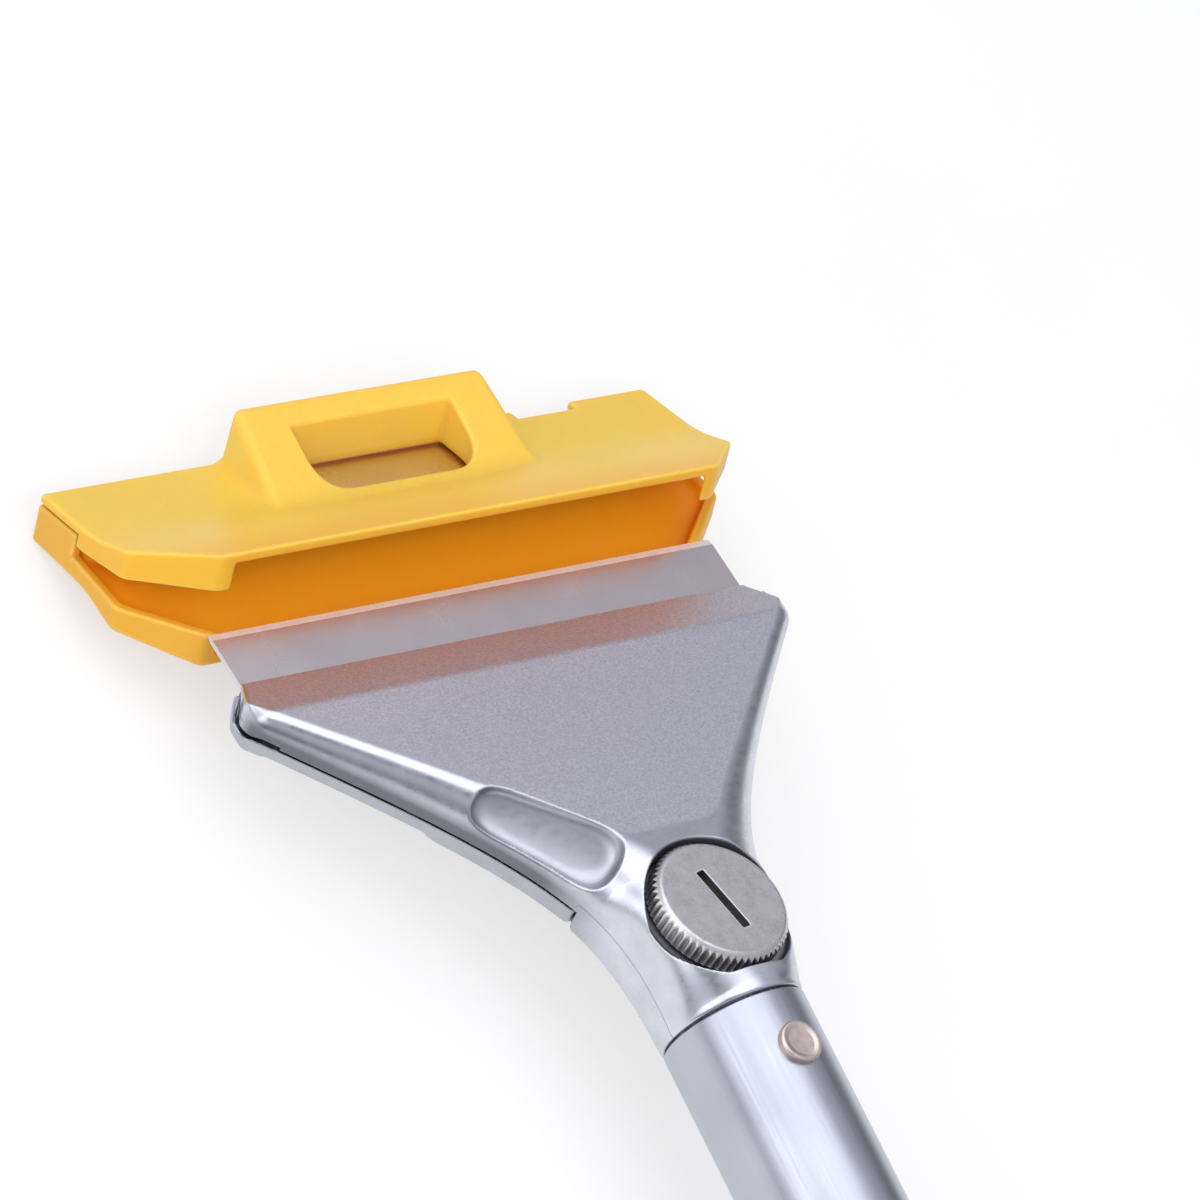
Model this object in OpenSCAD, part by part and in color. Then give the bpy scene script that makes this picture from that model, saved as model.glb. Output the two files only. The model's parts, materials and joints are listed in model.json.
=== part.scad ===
// Heavy-duty scraper with a wide clamped blade, a cast head, a round handle and a plastic blade guard.
// The guard stands just off the blade, as it does when it is being drawn off.
// Head frame: origin at the middle of the cutting edge, X along the edge, Y forward, Z up off the blade.
// The handle frame has its origin where the tube meets the collar, and the tube runs along -Y.

/* [Blade] */
// Length of the cutting edge
blade_w = 100; // [90:1:100]
// Depth of the blade from edge to edge
blade_d = 22; // [20:0.5:22]
// Thickness of the blade
blade_t = 0.8; // [0.5:0.05:0.8]
// How far the cutting edge stands out of the jaws
blade_out = 10.4; // [9:0.1:11]
// Width of the ground strip along each cutting edge
blade_bevel = 1.3; // [0.8:0.1:2]

/* [Head casting] */
// Half width of the jaws at the lip
lip_half = 50.3; // [50.2:0.1:51]
// Half width of the head at its corners
head_half = 53.4; // [53:0.1:54]
// Height of the lip above the middle of the blade
lip_h = 1.0; // [0.8:0.1:1.4]
// Depth of the sloping strip behind the lip
slope_d = 8.25; // [7:0.25:9]
// Height of the crease where the slope meets the flat face
crease_h = 4.6; // [4:0.1:5]
// Rise of the flat face towards the neck, in degrees
face_pitch = 8.4; // [7:0.1:9]
// Sideways run of the head's outline for each mm towards the neck
outline_run = 1.035; // [1:0.005:1.05]
// Sideways run of the flat face's edge for each mm towards the neck
face_run = 1.1; // [1.06:0.01:1.12]
// Gap between the two jaws
jaw_gap = 0.9; // [0.9:0.05:1]
// Thickness of the lower jaw at its edge
jaw_t = 2.6; // [2.4:0.1:3.4]
// Radius of the round collar at the end of the neck
collar_r = 12; // [11.9:0.05:12.2]
// Distance of the collar's end behind the cutting edge
collar_back = 85.7; // [85.5:0.1:87]
// Droop of the handle below the blade's plane, in degrees
droop = 8.85; // [7:0.05:10]

/* [Knob] */
// Distance of the knob's axis behind the cutting edge
knob_back = 71.8; // [71.6:0.1:72]
// Radius of the knob
knob_r = 11.4; // [11:0.1:11.4]
// Thickness of the knob
knob_t = 4.1; // [4:0.1:5.2]
// Teeth of the knurl
knurl_teeth = 60; // [48:1:72]
// Radius of the stud
stud_r = 4; // [3.5:0.1:4]
// Turn of the coin slot from the handle's line, in degrees
slot_turn = 10.6; // [0:0.1:90]

/* [Handle] */
// Outside radius of the tube
tube_r = 11.8; // [11.6:0.05:11.85]
// Wall of the tube
tube_wall = 1.3; // [1.2:0.1:1.5]
// Whole length from the cutting edge to the end of the handle
whole_length = 300; // [280:5:600]
// Length of the rubber grip
grip_len = 116; // [100:2:120]
// Greatest radius of the grip
grip_r = 14.6; // [14:0.1:15]
// Ribs on the grip
grip_ribs = 14; // [8:1:16]
// Distance of the rivet behind the collar
rivet_back = 9.8; // [8:0.1:12]
// Radius of the rivet's head
rivet_head_r = 3.5; // [3.2:0.1:3.7]

/* [Guard] */
// Half width of the guard's body
guard_half = 60.4; // [60:0.1:61]
// Half width of the guard's mouth, inside its cut-off corners
mouth_half = 49.3; // [49:0.1:49.5]
// Depth of the cut-off corners
corner_d = 9.5; // [9:0.1:10]
// Depth of the guard from mouth to back
guard_d = 32.4; // [32:0.1:34]
// Half height of the mouth
mouth_h = 10.1; // [10:0.1:10.5]
// Depth at which the flare ends
flare_d = 17.5; // [17:0.1:18]
// Half height where the flare ends
flare_h = 4.55; // [4.5:0.05:4.8]
// Half height of the back edge
back_h = 4.1; // [4.1:0.05:4.4]
// Wall of the guard
guard_wall = 1.8; // [1.6:0.1:1.8]
// Half width of the hump over the spare blade
hump_half = 26.6; // [25:0.1:28]
// Height of the hump's back edge over the middle of the guard
hump_h = 13.1; // [12:0.1:14]
// Pitch of the guard against the blade, in degrees
guard_pitch = 18.9; // [18:0.1:19.5]
// How far the guard's mouth stands in front of the cutting edge
guard_off = 2.04; // [2:0.02:3]
// Height of the middle of the mouth over the blade
guard_lift = 3.15; // [3:0.05:3.3]

/* [Hidden] */

// Fit between a pin and its bore, and the gap left between pieces that never touch
fit = 0.05;
clear = 0.4;
round_fn = 96;
// Length that pushes a cut past the face it goes through
past = 1;

// Head: depths are counted back from the lip
corner_start = 0.4;
corner_depth = 5.2;
taper_depth = 8.9;
neck_r = 11.4;
neck_blend = 9.5;
face_end_half = 3;
face_blend = 4;
rim_foot = 1.5;
jaw_back = 51;
neck_front = 51.5;
neck_back = collar_back - blade_out;
neck_inset = 0.15;
upper_back = 52.5;
neck_drop = 9.2;
shoulder_start = 0.085;
shoulder = 1.2;
belly = 1.6;
axis_cross = 68.7;
spigot_root = 3;
spigot_len = 26;
spigot_bore_r = 6.5;

// Knob: the pocket's floor carries the washer, and the washer carries the knob
pocket_floor = 6.4;
pocket_r = 12.6;
pocket_wall_back = 83.6;
washer_t = 0.4;
knob_foot = pocket_floor + washer_t;
knob_top = knob_foot + knob_t;
knob_chamfer = 0.9;
knurl_depth = 0.45;
slot_w = 1.6;
slot_len = 11.4;
slot_depth = 2;
web_foot = -0.9;
clip_t = 0.8;
clip_top = web_foot - 0.65;
stud_foot = -10;
stud_head = 2.2;

// Lower jaw: the tongue under the neck carries the threaded bush
tongue_half = 7.5;
tongue_top = -6.2;
tongue_foot = -10.4;
tongue_end = 80;
insert_r = 5.6;
pin_r = 1.5;
pin_x = 30;
pin_top = 3.4;
lug_in = 51;
lug_gap = 0.25;
lug_top = 1.4;
heel_t = 0.4;
heel_y = -41;
skirt_foot = -0.15;
skirt_inset = 0.05;

// Handle: lengths are counted back from the collar
collar_z = -(collar_back - axis_cross) * tan(droop);
collar_y_level = -collar_back * cos(droop) + collar_z * sin(droop);
collar_z_level = collar_back * sin(droop) + collar_z * cos(droop);
handle_len = whole_length + collar_y_level;
cap_len = 23;
tube_len = handle_len - cap_len;
tube_bore_r = tube_r - tube_wall;
rivet_r = 2.1;
rivet_seat = 11.2;
rivet_h = 1.5;
cap_half = 9;
cap_plug = 26;
hang_back = handle_len - 10.5;
eyelet_r = 4;
eyelet_bore_r = 3.2;
cap_pin_r = 1.6;

// Guard: depths are counted from the mouth towards the back
corner_run = (guard_half - mouth_half) / corner_d;
skirt_end = 21.7;
seam = 0.4;
plate_t = 1.5;
window_half = 16;
window_front = 17.9;
window_back = 29.3;
window_corner = 3;
spare_foot = 1.45;
spare_back = 31.3;
ledge_t = 0.8;
peg_x = 55.5;
peg_y = 24;
peg_r = 1.5;

// Level frame: the tube lies level along Y, and the origin is under the middle of the bounding box
function level_y(y, z) = y * cos(droop) + z * sin(droop);
function level_z(y, z) = z * cos(droop) - y * sin(droop);
function guard_y(y, z) = guard_off + y * cos(guard_pitch) + z * sin(guard_pitch);
function guard_z(y, z) = guard_lift + z * cos(guard_pitch) - y * sin(guard_pitch);
hump_back = guard_d + 1.8;
front_reach = level_y(guard_y(hump_back, hump_h - 0.6), guard_z(hump_back, hump_h - 0.6));
shift_y = (whole_length - front_reach) / 2;
shift_z = -level_z(guard_y(guard_d, -back_h), guard_z(guard_d, -back_h));

module in_head() {
    translate([0, shift_y, shift_z]) rotate([-droop, 0, 0]) children();
}

module in_handle() {
    translate([0, shift_y + collar_y_level, shift_z + collar_z_level]) children();
}

module in_guard() {
    in_head() translate([0, guard_off, guard_lift]) rotate([-guard_pitch, 0, 0]) children();
}

// Handle frame seen from the head frame
module handle_in_head() {
    translate([0, -collar_back, collar_z]) rotate([droop, 0, 0]) children();
}

// A profile drawn in Y and Z, extruded along X from x0 to x1
module along_x(x0, x1, profile) {
    translate([x0, 0, 0]) rotate([90, 0, 90]) linear_extrude(x1 - x0) polygon(profile);
}

// A solid of revolution about -Y, its profile drawn as radius and distance back
module about_handle(profile) {
    rotate([90, 0, 0]) rotate_extrude($fn = round_fn) polygon(profile);
}

module both_sides() {
    children();
    mirror([1, 0, 0]) children();
}

// A closed skin over a row of sections that all have the same count of points
module loft(sections) {
    n = len(sections[0]);
    m = len(sections);
    skin = [for (i = [0 : m - 2]) for (j = [0 : n - 1]) let (k = (j + 1) % n)
        each [[i * n + k, i * n + j, (i + 1) * n + k], [(i + 1) * n + k, i * n + j, (i + 1) * n + j]]];
    near = [for (j = [0 : n - 1]) j];
    far = [for (j = [n - 1 : -1 : 0]) (m - 1) * n + j];
    polyhedron([for (s = sections) each s], concat(skin, [near, far]), convexity = 6);
}

// Soft bend from a straight line down to a level end
function bend(line, floor_at, soft) = floor_at + soft * ln(1 + exp((line - floor_at) / soft));

// Half width of the head's outline, its flat face and its top, at a depth s behind the lip
function outline_half(s) = s < corner_depth
    ? lip_half + (head_half - lip_half) * max(0, s - corner_start) / (corner_depth - corner_start)
    : bend(head_half - outline_run * max(0, s - taper_depth), neck_r, neck_blend);
function face_half(s) = s < corner_depth
    ? outline_half(s) - 0.4
    : s < slope_d
    ? head_half - 0.4 - (head_half - lip_half - 0.1) * (s - corner_depth) / (slope_d - corner_depth)
    : bend(lip_half - 0.3 - face_run * (s - slope_d), face_end_half, face_blend);
function face_h(s) = s < slope_d
    ? lip_h + (crease_h - lip_h) * s / slope_d
    : crease_h + tan(face_pitch) * (s - slope_d);
function axis_h(s) = -(s + blade_out - axis_cross) * tan(droop);
function top_h(s) = min(face_h(s), axis_h(s) + collar_r);

// One section of the upper jaw: flat underside, upright foot, round rim, flat top
function upper_section(s) = let (
    o = outline_half(s),
    f = min(face_half(s), o - 0.3),
    top = top_h(s),
    foot = min(rim_foot, jaw_gap / 2 + (top - jaw_gap / 2) * 0.5),
    half = concat([[o, jaw_gap / 2]],
        [for (a = [0 : 15 : 90]) [f + (o - f) * cos(a), foot + (top - foot) * sin(a)]]))
    concat([for (p = half) [p[0], -blade_out - s, p[1]]],
        [for (i = [len(half) - 1 : -1 : 0]) [-half[i][0], -blade_out - s, half[i][1]]]);

// One section of the neck: the upper jaw's round rim above, half an ellipse below
// Beside the knob the rim grows square shoulders, and below it a full belly
// Towards the collar the section turns round and leans square to the tube
function neck_section(s) = let (
    part = (s - neck_front) / (neck_back - neck_front),
    past_rim = max(0, part - shoulder_start) / (1 - shoulder_start),
    square = 2 / (2 + shoulder * pow(max(0, sin(180 * past_rim)), 0.7)),
    o = outline_half(s) - neck_inset,
    f = min(face_half(s), o - 0.3) * (1 - part) + 0.3 * part,
    top = top_h(s) - neck_inset,
    foot = rim_foot * (1 - part) + axis_h(s) * part,
    down = neck_drop + (collar_r - neck_drop) * part,
    full = 2 / (2 + belly * (1 - part)),
    right = [for (a = [0 : 10 : 90])
        [f + (o - f) * pow(cos(a), square), foot + (top - foot) * pow(sin(a), square)]],
    left = [for (i = [len(right) - 1 : -1 : 0]) [-right[i][0], right[i][1]]],
    below = [for (a = [190 : 10 : 350])
        [o * sign(cos(a)) * pow(abs(cos(a)), full), foot - down * pow(abs(sin(a)), full)]])
    [for (p = concat(right, left, below))
        [p[0], -blade_out - s - part * tan(droop) * (p[1] - axis_h(s)), p[1]]];

module upper_jaw() {
    front = [0, corner_start, 4.2, corner_depth, slope_d];
    rear = [for (i = [1 : 14]) slope_d + (upper_back - slope_d) * i / 14];
    loft([for (s = concat(front, rear)) upper_section(s)]);
}

module neck() {
    loft([for (i = [0 : 8]) neck_section(neck_front + (neck_back - neck_front) * i / 8)]);
}

// A trough with round ends, cut across the polished rim for the thumb
module scoop() {
    scoop_fn = 32;
    scoop_r = 6.5;
    scoop_turn = 44.6;
    scoop_len = 11.7;
    translate([-26.6, -47.4, 8.6]) rotate([0, 0, -scoop_turn]) rotate([0, 90 - 3.4, 0]) {
        cylinder(r = scoop_r, h = scoop_len, $fn = scoop_fn);
        sphere(r = scoop_r, $fn = scoop_fn);
        translate([0, 0, scoop_len]) sphere(r = scoop_r, $fn = scoop_fn);
    }
}

module knob_axis() {
    translate([0, -knob_back, 0]) children();
}

module pocket() {
    difference() {
        knob_axis() translate([0, 0, pocket_floor]) cylinder(r = pocket_r, h = 20, $fn = round_fn);
        translate([-20, -pocket_wall_back - 20, 0]) cube([40, 20, 40]);
    }
}

// Ear of the casting behind each lug, in Y and Z
ear = [[-13.4, 1.3], [-15.9, -0.95], [-17.6, -0.95], [-19.4, skirt_foot], [-23, skirt_foot], [-23, 2],
    [-13.4, 2]];

module jaw_outline(inset = 0) {
    depths = concat([0.1, corner_start, corner_depth, taper_depth],
        [for (i = [1 : 16]) taper_depth + (jaw_back - taper_depth) * i / 16]);
    right = [for (s = depths) [outline_half(s) - inset, -blade_out - s]];
    left = [for (i = [len(right) - 1 : -1 : 0]) [-right[i][0], right[i][1]]];
    polygon(concat(right, left));
}

// The casting's skirt closes the gap of the jaws behind the blade, and its ears close it at the ends
module skirt() {
    intersection() {
        translate([0, 0, -5]) linear_extrude(5.6) jaw_outline(skirt_inset);
        union() {
            along_x(-60, 60, [[-blade_d - 0.7, skirt_foot], [-60, skirt_foot], [-60, 2],
                [-blade_d - 0.7, 2]]);
            both_sides() along_x(blade_w / 2 + 0.6, 60, ear);
        }
    }
}

module head_casting() {
    color("silver") in_head() difference() {
        union() {
            upper_jaw();
            neck();
            skirt();
            handle_in_head() translate([0, spigot_root, 0]) rotate([90, 0, 0])
                cylinder(r = tube_bore_r - fit, h = spigot_root + spigot_len, $fn = round_fn);
        }
        scoop();
        pocket();
        translate([-tongue_half - clear, -tongue_end - 0.6, -30])
            cube([2 * (tongue_half + clear), tongue_end - neck_front - blade_out + past, 30 + web_foot]);
        knob_axis() translate([0, 0, -past * 2]) cylinder(r = stud_r + fit, h = 10, $fn = round_fn);
        both_sides() translate([pin_x, -blade_d - pin_r - 0.3, -past])
            cylinder(r = pin_r, h = pin_top + past, $fn = round_fn);
        handle_in_head() translate([0, -rivet_back, -20]) cylinder(r = rivet_r, h = 40, $fn = round_fn);
        handle_in_head() translate([0, -spigot_len - past, 0]) rotate([-90, 0, 0])
            cylinder(r = spigot_bore_r, h = spigot_len, $fn = round_fn);
    }
}

// The lug stands up in front of the casting's ear, in Y and Z
jaw_foot = -jaw_gap / 2 - jaw_t;
ear_room = [[-13, lug_top], [-15.65, -1.35], [-17.8, -1.35], [-19.6, -jaw_gap / 2]];
lug = concat([[-23, -jaw_gap / 2], [-23, jaw_foot], [-15.6, jaw_foot], [-12.3, lug_top]], ear_room);
// Its foot reaches in under the casting, and its wall stays outside the casting's outline, in X and Y
lug_out = head_half + 0.4;
lug_foot_plan = [[lug_in, -11], [lug_out - 1.3, -11], [lug_out, -14.5], [lug_out, -19.3], [lug_in, -21.6]];
lug_wall_plan = [[outline_half(1.1) + lug_gap, -blade_out - 1.1], [lug_out - 1.3, -11], [lug_out, -14.5],
    [lug_out, -16], [outline_half(corner_depth) + lug_gap, -blade_out - corner_depth]];
// Spine and tongue of the lower jaw, in Y and Z
spine = [[-30, -1], [-58.5, -1], [-64.5, tongue_top], [-tongue_end, tongue_top],
    [-tongue_end, tongue_foot], [-62.5, tongue_foot], [-52, -7], [-34, -jaw_t - 1.6], [-28, -jaw_t]];

module jaw_plate() {
    jaw_top = -jaw_gap / 2;
    color("gainsboro") in_head() difference() {
        union() {
            intersection() {
                translate([0, 0, jaw_top - jaw_t]) linear_extrude(jaw_t) jaw_outline();
                along_x(-60, 60, [[-blade_out, jaw_top], [-blade_out, jaw_top - 0.7],
                    [-blade_out - 6.8, jaw_top - jaw_t], [-70, jaw_top - jaw_t], [-70, jaw_top]]);
            }
            along_x(-tongue_half, tongue_half, spine);
            both_sides() intersection() {
                along_x(50, 60, lug);
                union() {
                    translate([0, 0, -10]) linear_extrude(10 - 0.6) polygon(lug_foot_plan);
                    translate([0, 0, -10]) linear_extrude(20) polygon(lug_wall_plan);
                }
            }
            // Thicker heel behind the blade
            intersection() {
                translate([0, 0, jaw_foot - heel_t]) linear_extrude(heel_t + 1) jaw_outline();
                along_x(-60, 60, [[heel_y, -1], [heel_y, jaw_foot], [heel_y - 1.2, jaw_foot - heel_t],
                    [-70, jaw_foot - heel_t], [-70, -1]]);
            }
        }
        knob_axis() translate([0, 0, tongue_foot - past]) cylinder(r = insert_r, h = 10, $fn = round_fn);
        both_sides() translate([pin_x, -blade_d - pin_r - 0.3, -10])
            cylinder(r = pin_r + fit, h = 10, $fn = round_fn);
        // Room for the casting's ears inside the lugs
        both_sides() along_x(blade_w / 2 + 0.4, head_half + 1,
            concat([[-23, 2], [-13, 2]], ear_room, [[-23, -jaw_gap / 2]]));
    }
}

module blade_blank(w) {
    half = blade_t / 2;
    along_x(-w / 2, w / 2, [[0, 0], [-blade_bevel, half], [-blade_d + blade_bevel, half], [-blade_d, 0],
        [-blade_d + blade_bevel, -half], [-blade_bevel, -half]]);
}

module blade() {
    color("lightsteelblue") in_head() blade_blank(blade_w);
}

module knurl_outline() {
    polygon([for (i = [0 : 2 * knurl_teeth - 1]) let (a = i * 180 / knurl_teeth)
        (knob_r - (i % 2) * knurl_depth) * [cos(a), sin(a)]]);
}

module knob() {
    slot_r = (slot_len * slot_len / 4 + slot_depth * slot_depth) / (2 * slot_depth);
    color("darkgray") in_head() knob_axis() difference() {
        intersection() {
            translate([0, 0, knob_foot]) linear_extrude(knob_t) knurl_outline();
            rotate_extrude($fn = round_fn) polygon([[0, knob_foot], [knob_r - 0.4, knob_foot],
                [knob_r + 0.1, knob_foot + 0.5], [knob_r + 0.1, knob_top - knob_chamfer * 0.7],
                [knob_r - knob_chamfer, knob_top], [0, knob_top]]);
        }
        translate([0, 0, knob_top - slot_depth + slot_r]) rotate([0, 90, slot_turn])
            translate([0, 0, -slot_w / 2]) cylinder(r = slot_r, h = slot_w, $fn = round_fn);
        translate([0, 0, knob_foot - past]) cylinder(r = stud_r - 0.5, h = stud_head + past - 0.4,
            $fn = round_fn);
    }
}

module knob_stud() {
    color("slategray") in_head() knob_axis() rotate_extrude($fn = round_fn) polygon([[0, stud_foot],
        [stud_r - 0.8, stud_foot], [stud_r, stud_foot + 0.8], [stud_r, clip_top - clip_t],
        [stud_r - 0.6, clip_top - clip_t], [stud_r - 0.6, clip_top], [stud_r, clip_top],
        [stud_r, knob_foot - 0.02], [stud_r - 0.52, knob_foot - 0.02],
        [stud_r - 0.52, knob_foot + stud_head - 1.2], [0, knob_foot + stud_head - 1.2]]);
}

module ring(inner, outer, foot, height) {
    translate([0, 0, foot]) difference() {
        cylinder(r = outer, h = height, $fn = round_fn);
        translate([0, 0, -past]) cylinder(r = inner, h = height + 2 * past, $fn = round_fn);
    }
}

module knob_washer() {
    color("darkgray") in_head() knob_axis() ring(stud_r + 0.1, 8.5, pocket_floor, washer_t - 0.02);
}

module clip_washer() {
    color("darkgray") in_head() knob_axis() ring(stud_r + 0.1, 6.4, web_foot - 0.55, 0.5);
}

module stud_clip() {
    color("dimgray") in_head() knob_axis() difference() {
        ring(stud_r - 0.55, stud_r + 1.8, clip_top - clip_t + 0.05, clip_t - 0.1);
        translate([-1.5, 0, clip_top - clip_t - past]) cube([3, 10, clip_t + 2 * past]);
    }
}

module jaw_insert() {
    color("goldenrod") in_head() knob_axis()
        ring(stud_r + fit, insert_r - 0.01, tongue_foot, tongue_top - tongue_foot);
}

// Centre line of the spring, as a helix about the stud
spring_curls = 2.5;
spring_pitch = 1.15;
spring_r = 5.3;
spring_wire = 0.35;
spring_rings = 8 * spring_curls;
spring_top = clip_top - clip_t - 0.45;
function spring_point(i) = let (a = i * 360 / 8)
    [spring_r * cos(a), spring_r * sin(a), spring_top - spring_pitch * i / 8];
spring_gap = min([for (i = [0 : spring_rings - 8]) norm(spring_point(i + 8) - spring_point(i))])
    - 2 * spring_wire;
echo(str("jaw_spring least gap to itself: ", spring_gap));

module jaw_spring() {
    sides = 6;
    rings = [for (i = [0 : spring_rings]) let (p = spring_point(i), a = i * 360 / 8)
        [for (j = [0 : sides - 1]) let (b = j * 360 / sides)
            p + spring_wire * (cos(b) * [cos(a), sin(a), 0] + [0, 0, sin(b)])]];
    color("gray") in_head() knob_axis() loft(rings);
}

module guide_pins() {
    pin_foot = 0.3 - jaw_gap / 2 - jaw_t;
    color("gray") in_head() both_sides() translate([pin_x, -blade_d - pin_r - 0.3, pin_foot])
        cylinder(r = pin_r - 0.01, h = pin_top - 0.1 - pin_foot, $fn = round_fn);
}

module tube() {
    color("whitesmoke") in_handle() difference() {
        about_handle([[tube_bore_r, 0.35], [tube_r - 0.3, 0.35], [tube_r, 0.65], [tube_r, tube_len - 0.5],
            [tube_bore_r, tube_len - 0.5]]);
        translate([0, -rivet_back, -20]) cylinder(r = rivet_r, h = 40, $fn = round_fn);
        for (flip = [0, 180]) translate([0, -rivet_back, 0]) rotate([0, flip, 0])
            translate([0, 0, rivet_seat]) cylinder(r = rivet_head_r + 0.02, h = 5, $fn = round_fn);
        translate([-20, -tube_len + cap_plug / 2, 0]) rotate([0, 90, 0])
            cylinder(r = cap_pin_r, h = 40, $fn = round_fn);
    }
}

module tube_rivet() {
    top = rivet_seat + rivet_h;
    half = [[rivet_r - 0.01, rivet_seat], [rivet_head_r, rivet_seat], [rivet_head_r, top - 0.35],
        [rivet_head_r - 0.35, top], [0, top]];
    color("rosybrown") in_handle() translate([0, -rivet_back, 0]) rotate_extrude($fn = round_fn)
        polygon(concat(half, [for (i = [len(half) - 1 : -1 : 0]) [half[i][0], -half[i][1]]]));
}

module grip() {
    start = tube_len - grip_len;
    groove = 1.0;
    step = (grip_len - 24) / grip_ribs;
    ribs = [for (i = [0 : grip_ribs - 1]) let (s = start + 12 + i * step)
        each [[grip_r, s], [grip_r, s + step * 0.55], [grip_r - groove, s + step * 0.7],
            [grip_r - groove, s + step * 0.85]]];
    color("#202022") in_handle() about_handle(concat([[tube_r + 0.02, start], [grip_r - 1.6, start],
        [grip_r - 0.4, start + 1.2], [grip_r, start + 4]], ribs,
        [[grip_r, tube_len - 12], [grip_r, tube_len - 0.6], [tube_r + 0.02, tube_len - 0.6]]));
}

module end_cap() {
    plug_r = tube_bore_r - fit;
    crown = 7;
    dome = [for (a = [0 : 15 : 90])
        [grip_r - crown + crown * cos(a), handle_len - crown + crown * sin(a)]];
    color("#2a2a2c") in_handle() difference() {
        about_handle(concat([[0, tube_len - cap_plug], [plug_r - 0.6, tube_len - cap_plug],
            [plug_r, tube_len - cap_plug + 0.6], [plug_r, tube_len - 0.1], [grip_r - 0.4, tube_len - 0.1],
            [grip_r, tube_len + 0.4]], dome, [[0, handle_len]]));
        both_sides() translate([cap_half, -handle_len - past, -20]) cube([20, cap_len - 5, 40]);
        translate([-20, -hang_back, 0]) rotate([0, 90, 0]) cylinder(r = eyelet_r, h = 40, $fn = round_fn);
        translate([-20, -tube_len + cap_plug / 2, 0]) rotate([0, 90, 0])
            cylinder(r = cap_pin_r, h = 40, $fn = round_fn);
    }
}

module hang_eyelet() {
    color("lightgray") in_handle() translate([0, -hang_back, 0]) rotate([0, 90, 0])
        translate([0, 0, -cap_half]) rotate_extrude($fn = round_fn) polygon([[eyelet_bore_r, -0.3],
            [eyelet_r + 1.2, -0.3], [eyelet_r + 1.2, 0], [eyelet_r - 0.01, 0],
            [eyelet_r - 0.01, 2 * cap_half], [eyelet_r + 1.2, 2 * cap_half],
            [eyelet_r + 1.2, 2 * cap_half + 0.3], [eyelet_bore_r, 2 * cap_half + 0.3]]);
}

module cap_pin() {
    color("gray") in_handle() translate([-tube_r + 0.4, -tube_len + cap_plug / 2, 0]) rotate([0, 90, 0])
        cylinder(r = cap_pin_r - 0.01, h = 2 * tube_r - 0.8, $fn = round_fn);
}

// Half height of the guard at a depth behind its mouth
function guard_h(y) = y < flare_d
    ? mouth_h + (flare_h - mouth_h) * y / flare_d
    : flare_h + (back_h - flare_h) * (y - flare_d) / (guard_d - flare_d);

// The guard's block, drawn in by a wall; an open block runs out past the mouth
module guard_block(inset, open) {
    mouth = open ? -past : 0;
    slant = inset * sqrt(1 + corner_run * corner_run);
    corner_y = (guard_half - inset - mouth_half + slant) / corner_run;
    mouth_x = mouth_half + corner_run * mouth - slant;
    side_x = guard_half - inset;
    back = guard_d - inset;
    intersection() {
        along_x(-guard_half - past, guard_half + past, [[mouth, guard_h(mouth) - inset],
            [flare_d, flare_h - inset], [back, guard_h(back) - inset], [back, inset - guard_h(back)],
            [flare_d, inset - flare_h], [mouth, inset - guard_h(mouth)]]);
        translate([0, 0, -30]) linear_extrude(60) polygon([[-mouth_x, mouth], [mouth_x, mouth],
            [side_x, corner_y], [side_x, back], [-side_x, back], [-side_x, corner_y]]);
    }
}

// Wedge with drafted sides over the middle of the upper half
module hump() {
    draft = 2;
    intersection() {
        along_x(-hump_half, hump_half, [[16.6, 4], [16.6, guard_h(16.6)], [hump_back - 0.8, hump_h],
            [hump_back, hump_h - 0.6], [guard_d, 3]]);
        translate([0, 50, 0]) rotate([90, 0, 0]) linear_extrude(100) polygon([[-hump_half, 3],
            [hump_half, 3], [hump_half - draft, hump_h], [draft - hump_half, hump_h]]);
    }
}

module window() {
    corner = window_half - window_corner;
    linear_extrude(40) polygon([[-corner, window_front], [corner, window_front],
        [window_half, window_front + window_corner], [window_half, window_back],
        [-window_half, window_back], [-window_half, window_front + window_corner]]);
}

module guard_upper() {
    plate_foot = guard_h(skirt_end) - plate_t;
    color("orange") in_guard() difference() {
        union() {
            intersection() {
                difference() {
                    guard_block(0, false);
                    guard_block(guard_wall, true);
                }
                along_x(-70, 70, [[-past, 3.7], [9.6, 2.1], [20, 0.8], [skirt_end, 0.8],
                    [skirt_end, plate_foot], [40, guard_h(40) - plate_t], [40, 40], [-past, 40]]);
            }
            hump();
            // Ledges under the ends of the spare blade, and the pegs that join the halves
            both_sides() translate([44, 16, spare_foot - 0.1 - ledge_t]) cube([14.2, 13, ledge_t]);
            both_sides() translate([58, 17, spare_foot - 0.1 - ledge_t]) cube([1.5, 4.5, ledge_t]);
            both_sides() translate([peg_x, peg_y, -1.5])
                cylinder(r = peg_r, h = guard_h(peg_y) - plate_t + 1.9, $fn = round_fn);
        }
        window();
        both_sides() along_x(window_half + 1.6, hump_half - 2, [[20.5, 1], [20.5, 4.3], [31.9, 9.9],
            [30.6, 1]]);
        // Finger notch in the back edge beside the hump
        translate([32.5, guard_d - 2.3, 0]) cube([12, 10, 20]);
    }
}

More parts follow.
